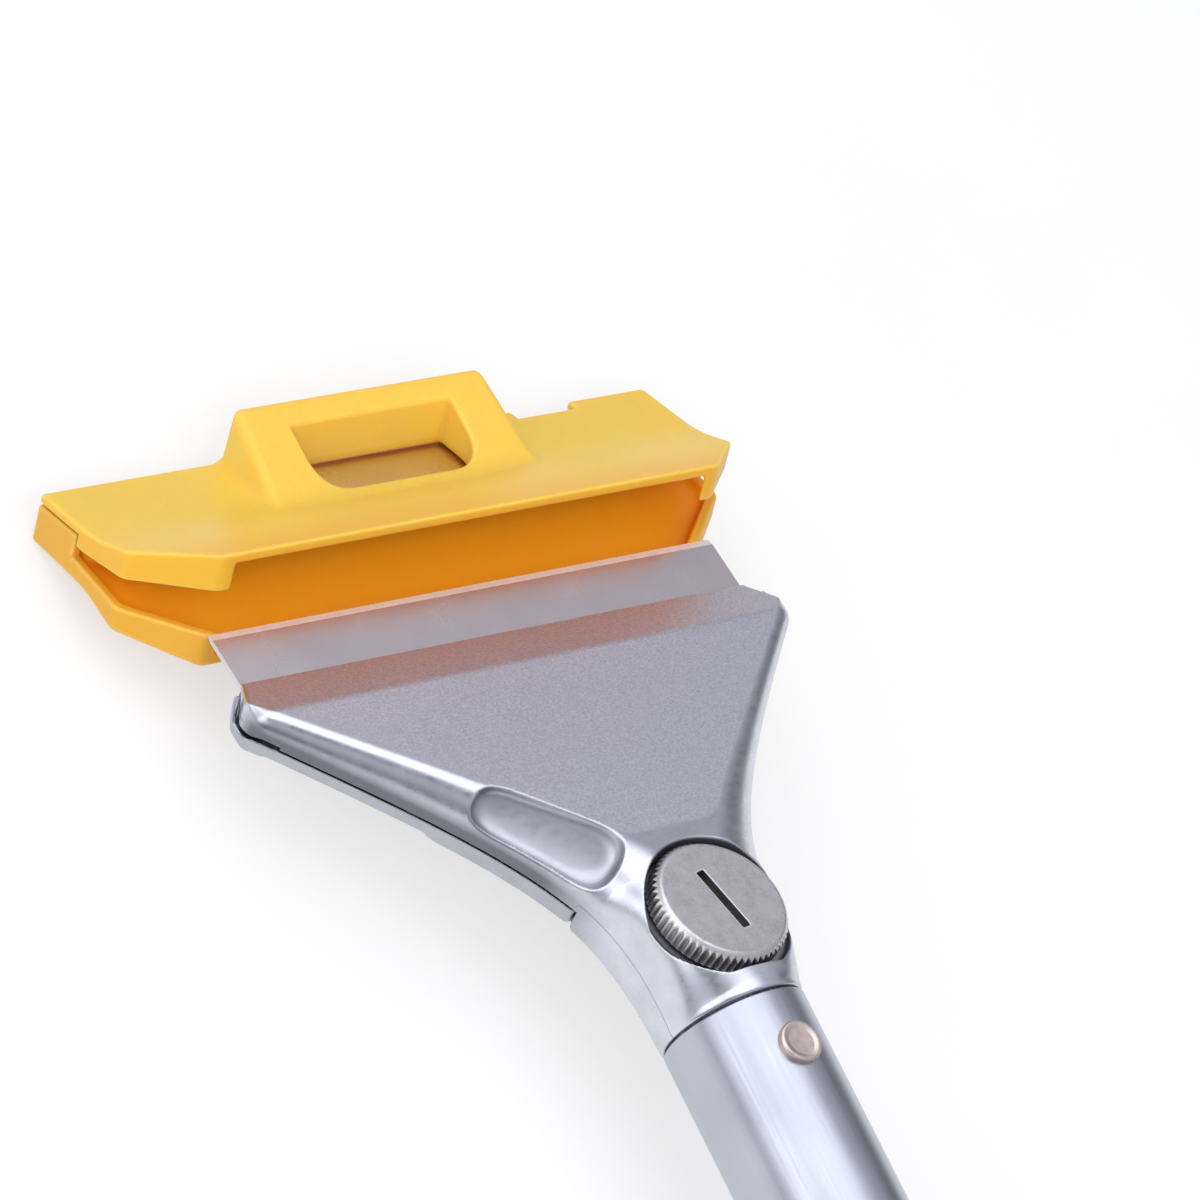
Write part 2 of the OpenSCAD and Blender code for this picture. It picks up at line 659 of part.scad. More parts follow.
module guard_lower() {
    wall_top = guard_h(skirt_end) - plate_t - seam;
    color("darkorange") in_guard() difference() {
        union() {
            intersection() {
                difference() {
                    guard_block(0, false);
                    guard_block(guard_wall, true);
                }
                along_x(-70, 70, [[-past, -4.45], [0, -4.3], [9.3, -3], [13, -2.4], [17, -1.9],
                    [skirt_end + seam, -1.3], [skirt_end + seam, wall_top], [40, wall_top - 0.7], [40, -40],
                    [-past, -40]]);
            }
            both_sides() translate([peg_x, peg_y, guard_wall - guard_h(peg_y) - 0.4])
                cylinder(r = 2.5, h = guard_h(peg_y) - guard_wall, $fn = round_fn);
        }
        both_sides() translate([peg_x, peg_y, -2])
            cylinder(r = peg_r + fit, h = 20, $fn = round_fn);
        // Slot through which the spare blade is pushed out
        translate([-blade_w / 2 - 0.6, guard_d - 5, spare_foot - 0.25]) cube([blade_w + 1.2, 10, 10]);
    }
}

module spare_blade() {
    color("lightsteelblue") in_guard() translate([0, spare_back, spare_foot + blade_t / 2])
        blade_blank(blade_w);
}

head_casting();
jaw_plate();
blade();
knob();
knob_stud();
knob_washer();
clip_washer();
stud_clip();
jaw_insert();
jaw_spring();
guide_pins();
tube();
tube_rivet();
grip();
end_cap();
hang_eyelet();
cap_pin();
guard_upper();
guard_lower();
spare_blade();
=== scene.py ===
"""Looks of the heavy-duty scraper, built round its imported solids.

Every shaped piece is a field: a formula that is negative inside the piece and zero on its skin.
A net of quads is drawn over the zero, and its corners and normals are settled on the formula.
Where forms are joined or cut softly, the last argument is the width of the rounding between them.
Lengths are millimetres in three local frames, and metres once a piece is placed.
Head frame: origin in the middle of the cutting edge, X along the edge, Y forward, Z up off the blade.
Handle frame: origin where tube and collar meet, the tube runs along -Y.
Guard frame: origin in the middle of the mouth, Y from the mouth to the back.
"""
import json
import math

import bpy
import numpy as np
from mathutils import Matrix, Vector


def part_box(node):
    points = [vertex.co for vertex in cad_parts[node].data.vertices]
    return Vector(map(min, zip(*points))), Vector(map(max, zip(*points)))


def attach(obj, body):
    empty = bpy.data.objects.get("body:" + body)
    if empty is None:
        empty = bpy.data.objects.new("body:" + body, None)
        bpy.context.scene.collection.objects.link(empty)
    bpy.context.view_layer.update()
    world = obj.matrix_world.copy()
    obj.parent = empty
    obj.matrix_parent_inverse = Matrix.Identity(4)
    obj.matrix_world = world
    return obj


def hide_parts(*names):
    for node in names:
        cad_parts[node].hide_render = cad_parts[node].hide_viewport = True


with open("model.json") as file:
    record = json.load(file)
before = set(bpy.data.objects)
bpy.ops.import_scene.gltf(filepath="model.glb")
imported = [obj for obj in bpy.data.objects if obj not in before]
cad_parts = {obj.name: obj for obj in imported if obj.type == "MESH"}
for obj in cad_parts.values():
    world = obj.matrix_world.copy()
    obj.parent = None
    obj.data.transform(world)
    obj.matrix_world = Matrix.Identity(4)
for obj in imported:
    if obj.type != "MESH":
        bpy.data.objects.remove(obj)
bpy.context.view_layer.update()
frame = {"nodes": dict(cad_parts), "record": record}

MM = 0.001

# Blade
BLADE_W, BLADE_D, BLADE_T = 100.0, 22.0, 0.8
BLADE_OUT, BLADE_BEVEL, BLADE_LAND = 10.4, 1.3, 0.04
BLADE_STATIONS, BLADE_FLAT_SIDES = 41, (2, 6)

# Head casting
LIP_HALF, HEAD_HALF, LIP_H = 50.3, 53.4, 1.0
SLOPE_D, CREASE_H, FACE_PITCH = 8.25, 4.6, math.radians(8.4)
OUTLINE_RUN, FACE_RUN = 1.035, 1.1
NOSE_START, NOSE_D, TAPER_D = 0.4, 5.2, 8.9
NECK_R, NECK_BLEND = 11.4, 9.5
FACE_END_HALF, FACE_BLEND = 3.0, 4.0
FACE_FRONT_IN, FACE_BACK_IN, FACE_EDGE_IN = 0.4, 0.3, 0.35
RIM_FOOT, JAW_GAP = 1.5, 0.9
BLAST_END = 46.3
NECK_FRONT, NECK_DROP = 51.5, 9.2
SHOULDER, SHOULDER_START, SHOULDER_POWER, BELLY = 1.2, 0.085, 1.3, 1.6
COLLAR_R, COLLAR_BACK, AXIS_CROSS = 12.0, 85.7, 68.7
NECK_BACK, NECK_END_HALF = COLLAR_BACK - BLADE_OUT, 0.3
SPIGOT_R, SPIGOT_ROOT, SPIGOT_STUB = 10.45, -3.0, 4.0
SCOOP_AT, SCOOP_ALONG = (-20.1, -51.2, 6.5), (0.652, -0.752, 0.097)
SCOOP_ACROSS, SCOOP_UP = (0.565, 0.568, 0.598), (-0.505, -0.335, 0.795)
SCOOP_PLAN = [(-12.5, -3.3), (12.6, -5.6), (12.6, 6.2), (-12.5, 3.8)]
SCOOP_FLOOR, SCOOP_HOLLOW_R, SCOOP_CORNER, SCOOP_FILLET = -1.9, 28.0, 6.0, 2.5
SKIRT_FOOT, SKIRT_FROM = -0.15, -22.7
EAR_IN, EAR_INSET = 50.6, 0.05
EAR = [(-13.4, 1.3), (-15.9, -0.95), (-17.6, -0.95), (-20.5, 0.34), (-20.5, 2), (-13.4, 2)]
CHANNEL_HALF, CHANNEL_END, WEB_FOOT = 7.9, 80.6, -0.9

# Lower jaw
JAW_TOP, JAW_T, JAW_BACK = -JAW_GAP / 2, 2.6, 51.3
JAW_NOSE, JAW_NOSE_T, JAW_SLOPE_END, JAW_OVER = 0.1, 0.7, 6.8, 9.0
LUG_SIDE = [(-12.3, 1.4), (-15.6, -3.05), (-23, -3.05), (-23, 1.4)]
LUG_FOOT_PLAN = [(51, -11), (52.5, -11), (53.8, -14.5), (53.8, -19.3), (51, -21.6)]
LUG_FOOT_TOP = -0.6
LUG_WALL_PLAN = [(51, -11.5), (52.5, -11), (53.8, -14.5), (53.8, -15.83)]
EAR_ROOM_IN, EAR_ROOM_BACK = 50.4, -19
EAR_ROOM = [(-13, 3), (-13, 1.4), (-15.65, -1.35), (-17.8, -1.35), (-21.2, 0.35), (-21.2, 3)]
HEEL = [(-41, -1), (-41, -3.05), (-42.2, -3.45), (-61.4, -3.45), (-61.4, -1)]
SPINE = [(-28, -2.9), (-34, -4.5), (-52, -7), (-62.5, -10.4), (-64.5, -10.4), (-64.5, -6.2),
         (-58.5, -1), (-30, -1)]
TONGUE_HALF, TONGUE_TOP, TONGUE_FOOT = 7.5, -6.2, -10.4
TONGUE_START, TONGUE_END = 60.0, 80.0
INSERT_R, INSERT_OVER = 5.6, 1.0
PIN_X, PIN_R, PIN_BEHIND_BLADE = 30.0, 1.55, 1.8

# Knob
KNOB_BACK, KNOB_R, KNOB_FOOT, KNOB_TOP = 71.8, 11.4, 6.8, 10.9
KNURL_TEETH, KNURL_DEPTH, KNURL_POWER = 60, 0.5, 1.2
KNOB_CHAMFER, KNOB_FOOT_CHAMFER = 1.0, 0.5
KNOB_SLOT_W, KNOB_SLOT_LEN, KNOB_SLOT_D, KNOB_SLOT_TURN = 1.6, 11.4, 2.0, math.radians(10.6)
POCKET_R, POCKET_FRONT, POCKET_FLOOR, POCKET_WALL = 12.6, 0.7, 6.4, 83.4

# Handle; the rivet's dish is (radius, depth), a rib of the grip (depth, share of a step)
TUBE_R, TUBE_BORE_R, TUBE_GAP = 11.8, 10.5, 0.35
RIVET_BACK, RIVET_SHANK_R, RIVET_HEAD_R = 9.8, 2.1, 3.5
RIVET_UNDER, RIVET_TOP, RIVET_EDGE = 11.2, 12.7, 0.25
RIVET_DISH = [(3.2, 0), (2.7, 0.05), (2.3, 0.2), (0.06, 0.25), (0.01, 0.25)]
CAP_LEN, CAP_GAP, CAP_HALF, CAP_CROWN = 23.0, 0.5, 9.0, 16.8
CAP_FRONT, CAP_FLATS_FROM = 0.4, 5.5
GRIP_R, GRIP_LEN, GRIP_PLAY, GRIP_END_GAP = 14.6, 116.0, 0.02, 0.1
GRIP_RIBS, GRIP_RIB = 14, [(0, 0), (0, 0.5), (1.0, 0.66), (1.0, 0.84)]
GRIP_PLAIN, GRIP_NOSE, GRIP_NOSE_IN = 12.0, 3.0, 1.6
EYELET_R, EYELET_BORE_R, EYELET_RIM, EYELET_RIM_T = 4.0, 3.2, 1.2, 0.3
HANG_INSET = 10.5

# Guard; the skirt and the rail are edges as depths from the mouth and heights there
GUARD_HALF, MOUTH_HALF, CORNER_D, GUARD_D = 60.4, 49.3, 9.5, 32.4
MOUTH_H, FLARE_D, FLARE_H, BACK_H, GUARD_WALL = 10.1, 17.5, 4.55, 4.1, 1.8
AHEAD_D, AHEAD_RISE, HOLLOW_AHEAD = 2.0, 0.63, -1.5
GUARD_OFF, GUARD_LIFT = 2.04, 3.15
SKIRT_END, SEAM, PLATE_T, WALL_FALL = 21.7, 0.4, 1.5, 0.03
SKIRT_EDGE = ([-1, 9.6, 20, 40], [3.7, 2.1, 0.8, 0.8])
RAIL_EDGE = ([-1, 0, 9.3, 13, 17, 22.1, 40], [-4.45, -4.3, -3, -2.4, -1.9, -1.3, -1.3])
HUMP_HALF, HUMP_H, HUMP_FOOT, HUMP_FRONT, HUMP_ROOF_PAST = 26.6, 13.1, 3.2, 16.6, 1.0
HUMP_DRAFT, HUMP_DRAFT_FROM, HUMP_LEAN, HUMP_LEAN_FROM = 2.0, 3.0, 0.17, 4.0
WINDOW_HALF, WINDOW_FRONT, WINDOW_BACK = 16.0, 17.9, 29.3
WINDOW_FOOT, WINDOW_CORNER = 1.2, 6.72
HUMP_UNDER = [(20.5, -2), (20.5, 4.3), (31.9, 9.9), (30.6, -2)]
HUMP_UNDER_X = (WINDOW_HALF + 1.6, HUMP_HALF - 2)
SPARE_FOOT, SPARE_BACK = 1.45, 31.3
LEDGE_X, LEDGE_Y, LEDGE_Z = (44, 58.2), (16, 29), (SPARE_FOOT - 0.9, SPARE_FOOT - 0.1)
LEDGE_ARM_X, LEDGE_ARM_Y = (58, 59.5), (17, 21.5)
EXIT_SIDE, EXIT_BACK, EXIT_UNDER = 0.6, 5.0, 0.25
NOTCH_FROM, NOTCH_TO, NOTCH_D = 32.5, 44.5, 2.3
PEG_X, PEG_Y, PEG_R, PEG_FOOT, PEG_ROOT = 55.5, 24.0, 1.5, -1.5, 0.4
BOSS_R, BOSS_TOP, BOSS_ROOT, BOSS_PLAY, BOSS_HOLE_FOOT = 2.5, -0.4, 0.5, 0.05, -2.0

# Skins: how far a corner may settle, the reach of a curvature, and the curvature of a full mark
SETTLE_MOST, CURVE_REACH, CURVE_FULL = 0.15, 0.35, 2.5

# Colours
POLISH_DARK, POLISH_PALE = (0.62, 0.64, 0.71), (0.70, 0.72, 0.79)
BLAST_DARK, BLAST_PALE = (0.60, 0.59, 0.67), (0.76, 0.75, 0.84)
# The flank grey is a painted dark reflection on the rims' foot; the parting grey is the dark line of the
# joint.
FLANK_SHADE_GREY, PARTING_GREY = (0.13, 0.135, 0.165), (0.2, 0.2, 0.24)
# Painted shade for the knob pocket and the thumb scoop, and deeper painted shade in their creases.
HOLLOW_SHADE_GREY, HOLLOW_CREASE_SHADE = (0.30, 0.30, 0.33), (0.16, 0.16, 0.18)
BLADE_DARK, BLADE_PALE = (0.62, 0.58, 0.62), (0.76, 0.71, 0.73)
GROUND_DARK, GROUND_PALE = (0.90, 0.85, 0.79), (0.98, 0.94, 0.89)
KNOB_PALE, KNOB_DARK, KNOB_FLECK = (0.66, 0.65, 0.68), (0.46, 0.45, 0.46), (0.78, 0.77, 0.79)
KNOB_RING, KNOB_WORN = (0.80, 0.79, 0.79), (0.82, 0.81, 0.80)
# The second pair: painted shade in the knob's creases and inside its coin slot.
KNOB_CREASE_SHADE, KNOB_SLOT_SHADE = (0.36, 0.35, 0.35), (0.17, 0.16, 0.15)
TUBE_DARK, TUBE_PALE = (0.48, 0.51, 0.58), (0.53, 0.56, 0.63)
# The second yellow is the same plastic made darker, as painted shade for the lower moulding.
YELLOW, YELLOW_LOW_SHADED = (0.85, 0.48, 0.028), (0.78, 0.40, 0.028)
# The first of these is a painted sheen for the lid's top; the second is scuffed edges.
YELLOW_LID_SHEEN, YELLOW_SCUFFED = (0.89, 0.63, 0.11), (0.90, 0.68, 0.18)
# Painted light: the deeper orange of light bouncing in the hollow, and painted shade in creases.
YELLOW_HOLLOW_BOUNCE, YELLOW_CREASE_SHADE = (1.0, 0.41, 0.012), (0.80, 0.37, 0.018)
FLOOR_DARK, FLOOR_PALE = (0.87, 0.87, 0.87), (0.90, 0.90, 0.90)

# Room: the floor's own white, the tone, and patches as (azimuth, elevation), outer and inner angle, tone
FLOOR_WHITE, FLOOR_SIZE = 0.6, 6
ROOM_TONE = (0.17, 0.17, 0.19)
ROOM_PATCHES = [
    ((0, 90), 84, 58, (0.50, 0.50, 0.55)),
    ((0, 90), 34, 17, (0.80, 0.81, 0.86)),
    ((160, 40), 46, 20, (0.85, 0.87, 0.93)),
    ((24, 8), 27, 10, (0.17, 0.17, 0.19)),
    ((200, 60), 18, 8, (0.10, 0.10, 0.12)),
]

# Lamps, a metre from what they aim at: (azimuth, elevation), size in metres, watts, colour, seen in metal
LAMP_AIM = (0, 0.05, 0.02)
LAMPS = {
    "key": ((96, 62), 1.15, 3.5, (0.98, 0.99, 1.0), True),
    "left_window": ((168, 32), 0.7, 1.3, (1.0, 0.99, 0.97), True),
    "ceiling": ((258, 58), 1.0, 3.3, (1.0, 1.0, 1.0), False),
    "front_fill": ((214, 42), 0.6, 2.3, (1.0, 0.99, 0.98), False),
}

# Photograph: the view in the head frame, and a lens for a square picture
CAMERA_AT = (-706.7, -512.8, 771.7)
CAMERA_RIGHT, CAMERA_DOWN = (0.7695, -0.4953, 0.4031), (-0.1518, -0.755, -0.638)
PICTURE_PX, FOCAL_PX, SENSOR_MM = 1200, 7448.4, 36.0

# The frames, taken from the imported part
mounts = {m["name"]: m for m in frame["record"]["mounts"]}
joints = {j["name"]: j for j in frame["record"]["behaviour"]["joints"]}
seat = mounts["blade_seat"]
seat_axis = Vector(seat["axis"]).normalized()


def placement(origin, forward):
    """Matrix from a local frame in millimetres to the row frame in metres: X stays X, Y points forward."""
    x, y = Vector((1, 0, 0)), Vector(forward).normalized()
    turn = Matrix((x, y, x.cross(y))).transposed().to_4x4()
    return Matrix.Translation(origin) @ turn @ Matrix.Scale(MM, 4)


head_frame = placement(Vector(seat["pos_m"]) + seat_axis * BLADE_OUT * MM, seat["axis"])
guard_frame = placement(head_frame @ Vector((0, GUARD_OFF, GUARD_LIFT)), joints["spare_push"]["axis"])
tube_low, tube_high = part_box("tube")
handle_frame = placement((0, tube_high.y + TUBE_GAP * MM, (tube_low.z + tube_high.z) / 2), (0, 1, 0))
droop = math.asin(-seat_axis.z)
TUBE_LEN = (tube_high.y - tube_low.y) / MM + TUBE_GAP
HANDLE_LEN = TUBE_LEN + CAP_GAP + CAP_LEN


# Fields

def smooth_min(a, b, k):
    h = np.maximum(k - np.abs(a - b), 0) / k
    return np.minimum(a, b) - h * h * k / 4


def smooth_max(a, b, k):
    return -smooth_min(-a, -b, k)


def cut(body, tool, k):
    return smooth_max(body, -tool, k)


def prism(outline, u, v, k):
    """Inside of a convex outline, its corners rounded by k."""
    area = sum(p[0] * q[1] - q[0] * p[1] for p, q in zip(outline, outline[1:] + outline[:1]))
    field = None
    for p, q in zip(outline, outline[1:] + outline[:1]):
        side = math.copysign(1 / math.hypot(q[0] - p[0], q[1] - p[1]), area)
        gap = ((q[1] - p[1]) * (u - p[0]) - (q[0] - p[0]) * (v - p[1])) * side
        field = gap if field is None else smooth_max(field, gap, k)
    return field


def between(u, low, high):
    return np.abs(u - (low + high) / 2) - (high - low) / 2


def ramp(u, start, end):
    """From 0 at the start to 1 at the end, and level beyond them."""
    return np.clip((u - start) / (end - start), 0, 1)


def quarter_ellipse(u, w, a, b, power=2.0):
    """Gap to a quarter ellipse with half axes a and b; the straight sides run on where u or w is negative.

    A power above 2 squares its shoulder."""
    u, w = np.maximum(u, 0) / a, np.maximum(w, 0) / b
    e = (u**power + w**power) ** (1 / power)
    slope = np.sqrt((u ** (power - 1) / a) ** 2 + (w ** (power - 1) / b) ** 2)
    return np.where(e > 0.05, (e - 1) * e ** (power - 1) / np.maximum(slope, 1e-9), -np.minimum(a, b))


def bend(line, floor_at, soft):
    """A line that levels off softly where it comes down to a floor."""
    return floor_at + soft * np.logaddexp(0, (line - floor_at) / soft)


# Shape of the head, at a depth s behind the lip

def outline_half(s):
    nose = LIP_HALF + (HEAD_HALF - LIP_HALF) * (s - NOSE_START) / (NOSE_D - NOSE_START)
    front = smooth_min(smooth_max(LIP_HALF + 0 * s, nose, 0.3), HEAD_HALF, 0.8)
    return smooth_min(front, bend(HEAD_HALF - OUTLINE_RUN * (s - TAPER_D), NECK_R, NECK_BLEND), 1.2)


def face_half(s):
    front, back = HEAD_HALF - FACE_FRONT_IN, LIP_HALF - FACE_BACK_IN
    crease = front - (front - back) * (s - NOSE_D) / (SLOPE_D - NOSE_D)
    taper = bend(back - FACE_RUN * (s - SLOPE_D), FACE_END_HALF, FACE_BLEND)
    return np.minimum(outline_half(s) - FACE_EDGE_IN, np.where(s < SLOPE_D, crease, taper))


def axis_h(s):
    return -(s + BLADE_OUT - AXIS_CROSS) * math.tan(droop)


def top_h(s):
    slope = LIP_H + (CREASE_H - LIP_H) * s / SLOPE_D
    flat = CREASE_H + math.tan(FACE_PITCH) * (s - SLOPE_D)
    return smooth_min(smooth_min(slope, flat, 0.2), axis_h(s) + COLLAR_R, 1.0)


def beyond_collar(y, z):
    """Distance past the collar's end, along the tube."""
    collar_z = -(COLLAR_BACK - AXIS_CROSS) * math.tan(droop)
    return -(y + COLLAR_BACK) * math.cos(droop) - (z - collar_z) * math.sin(droop)


def knob_pocket(x, y, z):
    r, forward = np.sqrt(x * x + (y + KNOB_BACK) ** 2), y + KNOB_BACK
    round_wall = r - POCKET_R + POCKET_FRONT * np.clip(forward / np.maximum(r, 1), 0, 1) ** 2
    return smooth_max(smooth_max(round_wall, POCKET_FLOOR - z, 0.8), -POCKET_WALL - y, 0.3)


def thumb_scoop(x, y, z):
    x, y, z = x - SCOOP_AT[0], y - SCOOP_AT[1], z - SCOOP_AT[2]
    along, across, up = (x * d[0] + y * d[1] + z * d[2] for d in (SCOOP_ALONG, SCOOP_ACROSS, SCOOP_UP))
    floor = SCOOP_FLOOR + across**2 / (2 * SCOOP_HOLLOW_R) - up
    return smooth_max(prism(SCOOP_PLAN, along, across, SCOOP_CORNER), floor, SCOOP_FILLET)


def head_casting(x, y, z):
    s = -BLADE_OUT - y
    part = ramp(s, NECK_FRONT, NECK_BACK)
    out, top, level = outline_half(s), top_h(s), axis_h(s)
    flat = face_half(s) * (1 - part) + NECK_END_HALF * part
    foot = np.minimum(RIM_FOOT, (JAW_GAP / 2 + top) / 2) * (1 - part) + level * part
    wide = np.abs(x)
    drop = NECK_DROP + (COLLAR_R - NECK_DROP) * part
    past_rim = np.maximum(part - SHOULDER_START, 0) / (1 - SHOULDER_START)
    square = 2 + SHOULDER * np.maximum(np.sin(math.pi * past_rim), 0) ** SHOULDER_POWER
    above = quarter_ellipse(wide - flat, z - foot, out - flat, top - foot, square)
    belly = quarter_ellipse(wide, foot - z, out, drop, 2 + BELLY * (1 - part))
    below = np.where(s < NECK_FRONT, wide - out + 0 * z, belly)
    body = np.where(z > foot, above, below)
    blade_room = np.maximum(z - JAW_GAP / 2, SKIRT_FROM - y)
    jaw_room = np.maximum(z - SKIRT_FOOT, s - NECK_FRONT)
    body = cut(body, np.minimum(blade_room, jaw_room), 0.2)
    ear_sides = np.maximum(EAR_IN - wide, wide - out + EAR_INSET)
    body = smooth_min(body, smooth_max(prism(EAR, y, z, 0.5), ear_sides, 0.3), 0.25)
    body = smooth_max(body, -s, 0.15)
    body = cut(body, thumb_scoop(x, y, z), 0.4)
    body = cut(body, knob_pocket(x, y, z), 0.4)
    channel = np.maximum(np.maximum(wide - CHANNEL_HALF, z - WEB_FOOT), between(y, -CHANNEL_END, -NECK_FRONT))
    body = cut(body, channel, 0.4)
    end = beyond_collar(y, z)
    body = smooth_max(body, end, 0.6)
    spigot = np.sqrt(x * x + ((z - level) * math.cos(droop)) ** 2) - SPIGOT_R
    return np.minimum(body, np.maximum(spigot, between(end, SPIGOT_ROOT, SPIGOT_STUB)))


def jaw_plate(x, y, z):
    s = -BLADE_OUT - y
    wide = np.abs(x)
    front, back, foot = -BLADE_OUT - JAW_NOSE, -BLADE_OUT - JAW_BACK, JAW_TOP - JAW_T
    side = [(front, JAW_TOP + JAW_OVER), (front, JAW_TOP - JAW_NOSE_T), (-BLADE_OUT - JAW_SLOPE_END, foot),
            (back, foot), (back, JAW_TOP + JAW_OVER)]
    body = smooth_max(wide - outline_half(s) + 0 * z, prism(side, y, z, 0.4), 1.4)
    body = smooth_max(body, z - JAW_TOP, 0.2)
    spine = smooth_max(prism(SPINE, y, z, 1.5), wide - TONGUE_HALF, 1.5)
    tongue = smooth_max(between(y, -TONGUE_END, -TONGUE_START), between(z, TONGUE_FOOT, TONGUE_TOP), 0.8)
    tongue = smooth_max(tongue, wide - TONGUE_HALF, 1.5)
    body = smooth_min(body, smooth_min(spine, tongue, 1.0), 1.5)
    heel = smooth_max(prism(HEEL, y, z, 0.3), wide - outline_half(s), 0.6)
    body = smooth_min(body, heel, 0.3)
    lug_foot = np.maximum(prism(LUG_FOOT_PLAN, wide, y, 0.5), z - LUG_FOOT_TOP)
    lug_plan = smooth_min(lug_foot, prism(LUG_WALL_PLAN, wide, y, 0.4), 0.2)
    body = smooth_min(body, smooth_max(prism(LUG_SIDE, y, z, 0.5), lug_plan, 0.4), 0.4)
    room = np.minimum(prism(EAR_ROOM, y, z, 0.3), np.maximum(JAW_TOP - z, y - EAR_ROOM_BACK))
    body = cut(body, np.maximum(room, EAR_ROOM_IN - wide), 0.3)
    bush = np.sqrt(x * x + (y + KNOB_BACK) ** 2) - INSERT_R
    body = cut(body, np.maximum(bush, z - TONGUE_TOP - INSERT_OVER), 0.3)
    pins = np.sqrt((wide - PIN_X) ** 2 + (y + BLADE_D + PIN_BEHIND_BLADE) ** 2) - PIN_R
    return cut(body, pins + 0 * z, 0.2)


def coin_slot(x, y, z):
    across = x * math.cos(KNOB_SLOT_TURN) + y * math.sin(KNOB_SLOT_TURN)
    along = y * math.cos(KNOB_SLOT_TURN) - x * math.sin(KNOB_SLOT_TURN)
    sides = smooth_max(np.abs(across) - KNOB_SLOT_W / 2, np.abs(along) - KNOB_SLOT_LEN / 2, 0.3)
    return smooth_max(sides, KNOB_TOP - KNOB_SLOT_D - z, 0.2)


def knob(x, y, z):
    """In the knob's own frame, on its axis, with the head's height."""
    r, turn = np.sqrt(x * x + y * y), np.arctan2(y, x)
    teeth = KNOB_R - KNURL_DEPTH * np.abs(np.sin(turn * KNURL_TEETH / 2)) ** KNURL_POWER
    body = smooth_max(r - teeth, between(z, KNOB_FOOT, KNOB_TOP), 0.2)
    body = smooth_max(body, (r + z - KNOB_TOP - KNOB_R + KNOB_CHAMFER) * math.sqrt(0.5), 0.25)
    body = smooth_max(body, (r - z + KNOB_FOOT - KNOB_R + KNOB_FOOT_CHAMFER) * math.sqrt(0.5), 0.2)
    return cut(body, coin_slot(x, y, z), 0.08)


# Shape of the guard

def guard_h(y):
    depths = [-AHEAD_D, 0, FLARE_D, GUARD_D]
    return np.interp(y, depths, [MOUTH_H + AHEAD_RISE, MOUTH_H, FLARE_H, BACK_H])


def guard_block(x, y, z, inset, mouth, k):
    """The guard's whole form as one block, drawn in by an inset, from the mouth line to the back."""
    run = (GUARD_HALF - MOUTH_HALF) / CORNER_D
    flare = (MOUTH_H - FLARE_H) / FLARE_D
    fall = (FLARE_H - BACK_H) / (GUARD_D - FLARE_D)
    wide, height = np.abs(x), np.abs(z)
    steep = (height - MOUTH_H + flare * y) / math.hypot(1, flare)
    level = (height - FLARE_H + fall * (y - FLARE_D)) / math.hypot(1, fall)
    corner = (wide - MOUTH_HALF - run * y) / math.hypot(1, run)
    sides = smooth_max(wide - GUARD_HALF, corner, 0.8)
    walls = smooth_max(sides, y - GUARD_D, 0.8) + inset
    lid = smooth_min(steep, level, 1.0) + inset
    return smooth_max(smooth_max(walls + 0 * z, lid, k), mouth - y, k)


def guard_shell(x, y, z):
    return cut(guard_block(x, y, z, 0, 0, 0.6), guard_block(x, y, z, GUARD_WALL, HOLLOW_AHEAD, 0.5), 0.5)


def guard_hump(wide, y, z):
    rise = (HUMP_H - float(guard_h(HUMP_FRONT))) / (GUARD_D + HUMP_ROOF_PAST - HUMP_FRONT)
    roof = (z - float(guard_h(HUMP_FRONT)) - rise * (y - HUMP_FRONT)) / math.hypot(1, rise)
    back = (y - GUARD_D - (z - HUMP_LEAN_FROM) * HUMP_LEAN) / math.hypot(1, HUMP_LEAN)
    sides = wide - HUMP_HALF + (z - HUMP_DRAFT_FROM) * HUMP_DRAFT / (HUMP_H - HUMP_DRAFT_FROM)
    hump = smooth_max(smooth_max(smooth_max(roof, back, 1.2), z - HUMP_H, 1.2), sides, 1.6)
    return np.maximum(hump, HUMP_FOOT - z)


def guard_upper(x, y, z):
    wide = np.abs(x)
    skirt = np.interp(y, *SKIRT_EDGE)
    plate = guard_h(y) - PLATE_T
    above = np.minimum(np.maximum(skirt - z, y - SKIRT_END), plate - z)
    body = smooth_max(guard_shell(x, y, z), above, 0.4)
    body = smooth_min(body, guard_hump(wide, y, z), 1.4)
    window = smooth_max(wide - WINDOW_HALF, WINDOW_FRONT - y, WINDOW_CORNER)
    window = smooth_max(smooth_max(window, y - WINDOW_BACK, 0.8), WINDOW_FOOT - z, 0.3)
    body = cut(body, window, 0.7)
    body = cut(body, np.maximum(prism(HUMP_UNDER, y, z, 0.6), between(wide, *HUMP_UNDER_X)), 0.4)
    notch = np.maximum(between(x, NOTCH_FROM, NOTCH_TO), GUARD_D - NOTCH_D - y)
    body = cut(body, np.maximum(notch, -z), 0.5)
    thin = between(z, *LEDGE_Z)
    ledge = np.maximum(np.maximum(thin, between(wide, *LEDGE_X)), between(y, *LEDGE_Y))
    arm = np.maximum(np.maximum(thin, between(wide, *LEDGE_ARM_X)), between(y, *LEDGE_ARM_Y))
    peg = np.sqrt((wide - PEG_X) ** 2 + (y - PEG_Y) ** 2) - PEG_R
    peg = np.maximum(peg, between(z, PEG_FOOT, float(guard_h(PEG_Y)) - PLATE_T + PEG_ROOT))
    return np.minimum(body, np.minimum(np.minimum(ledge, arm), peg))


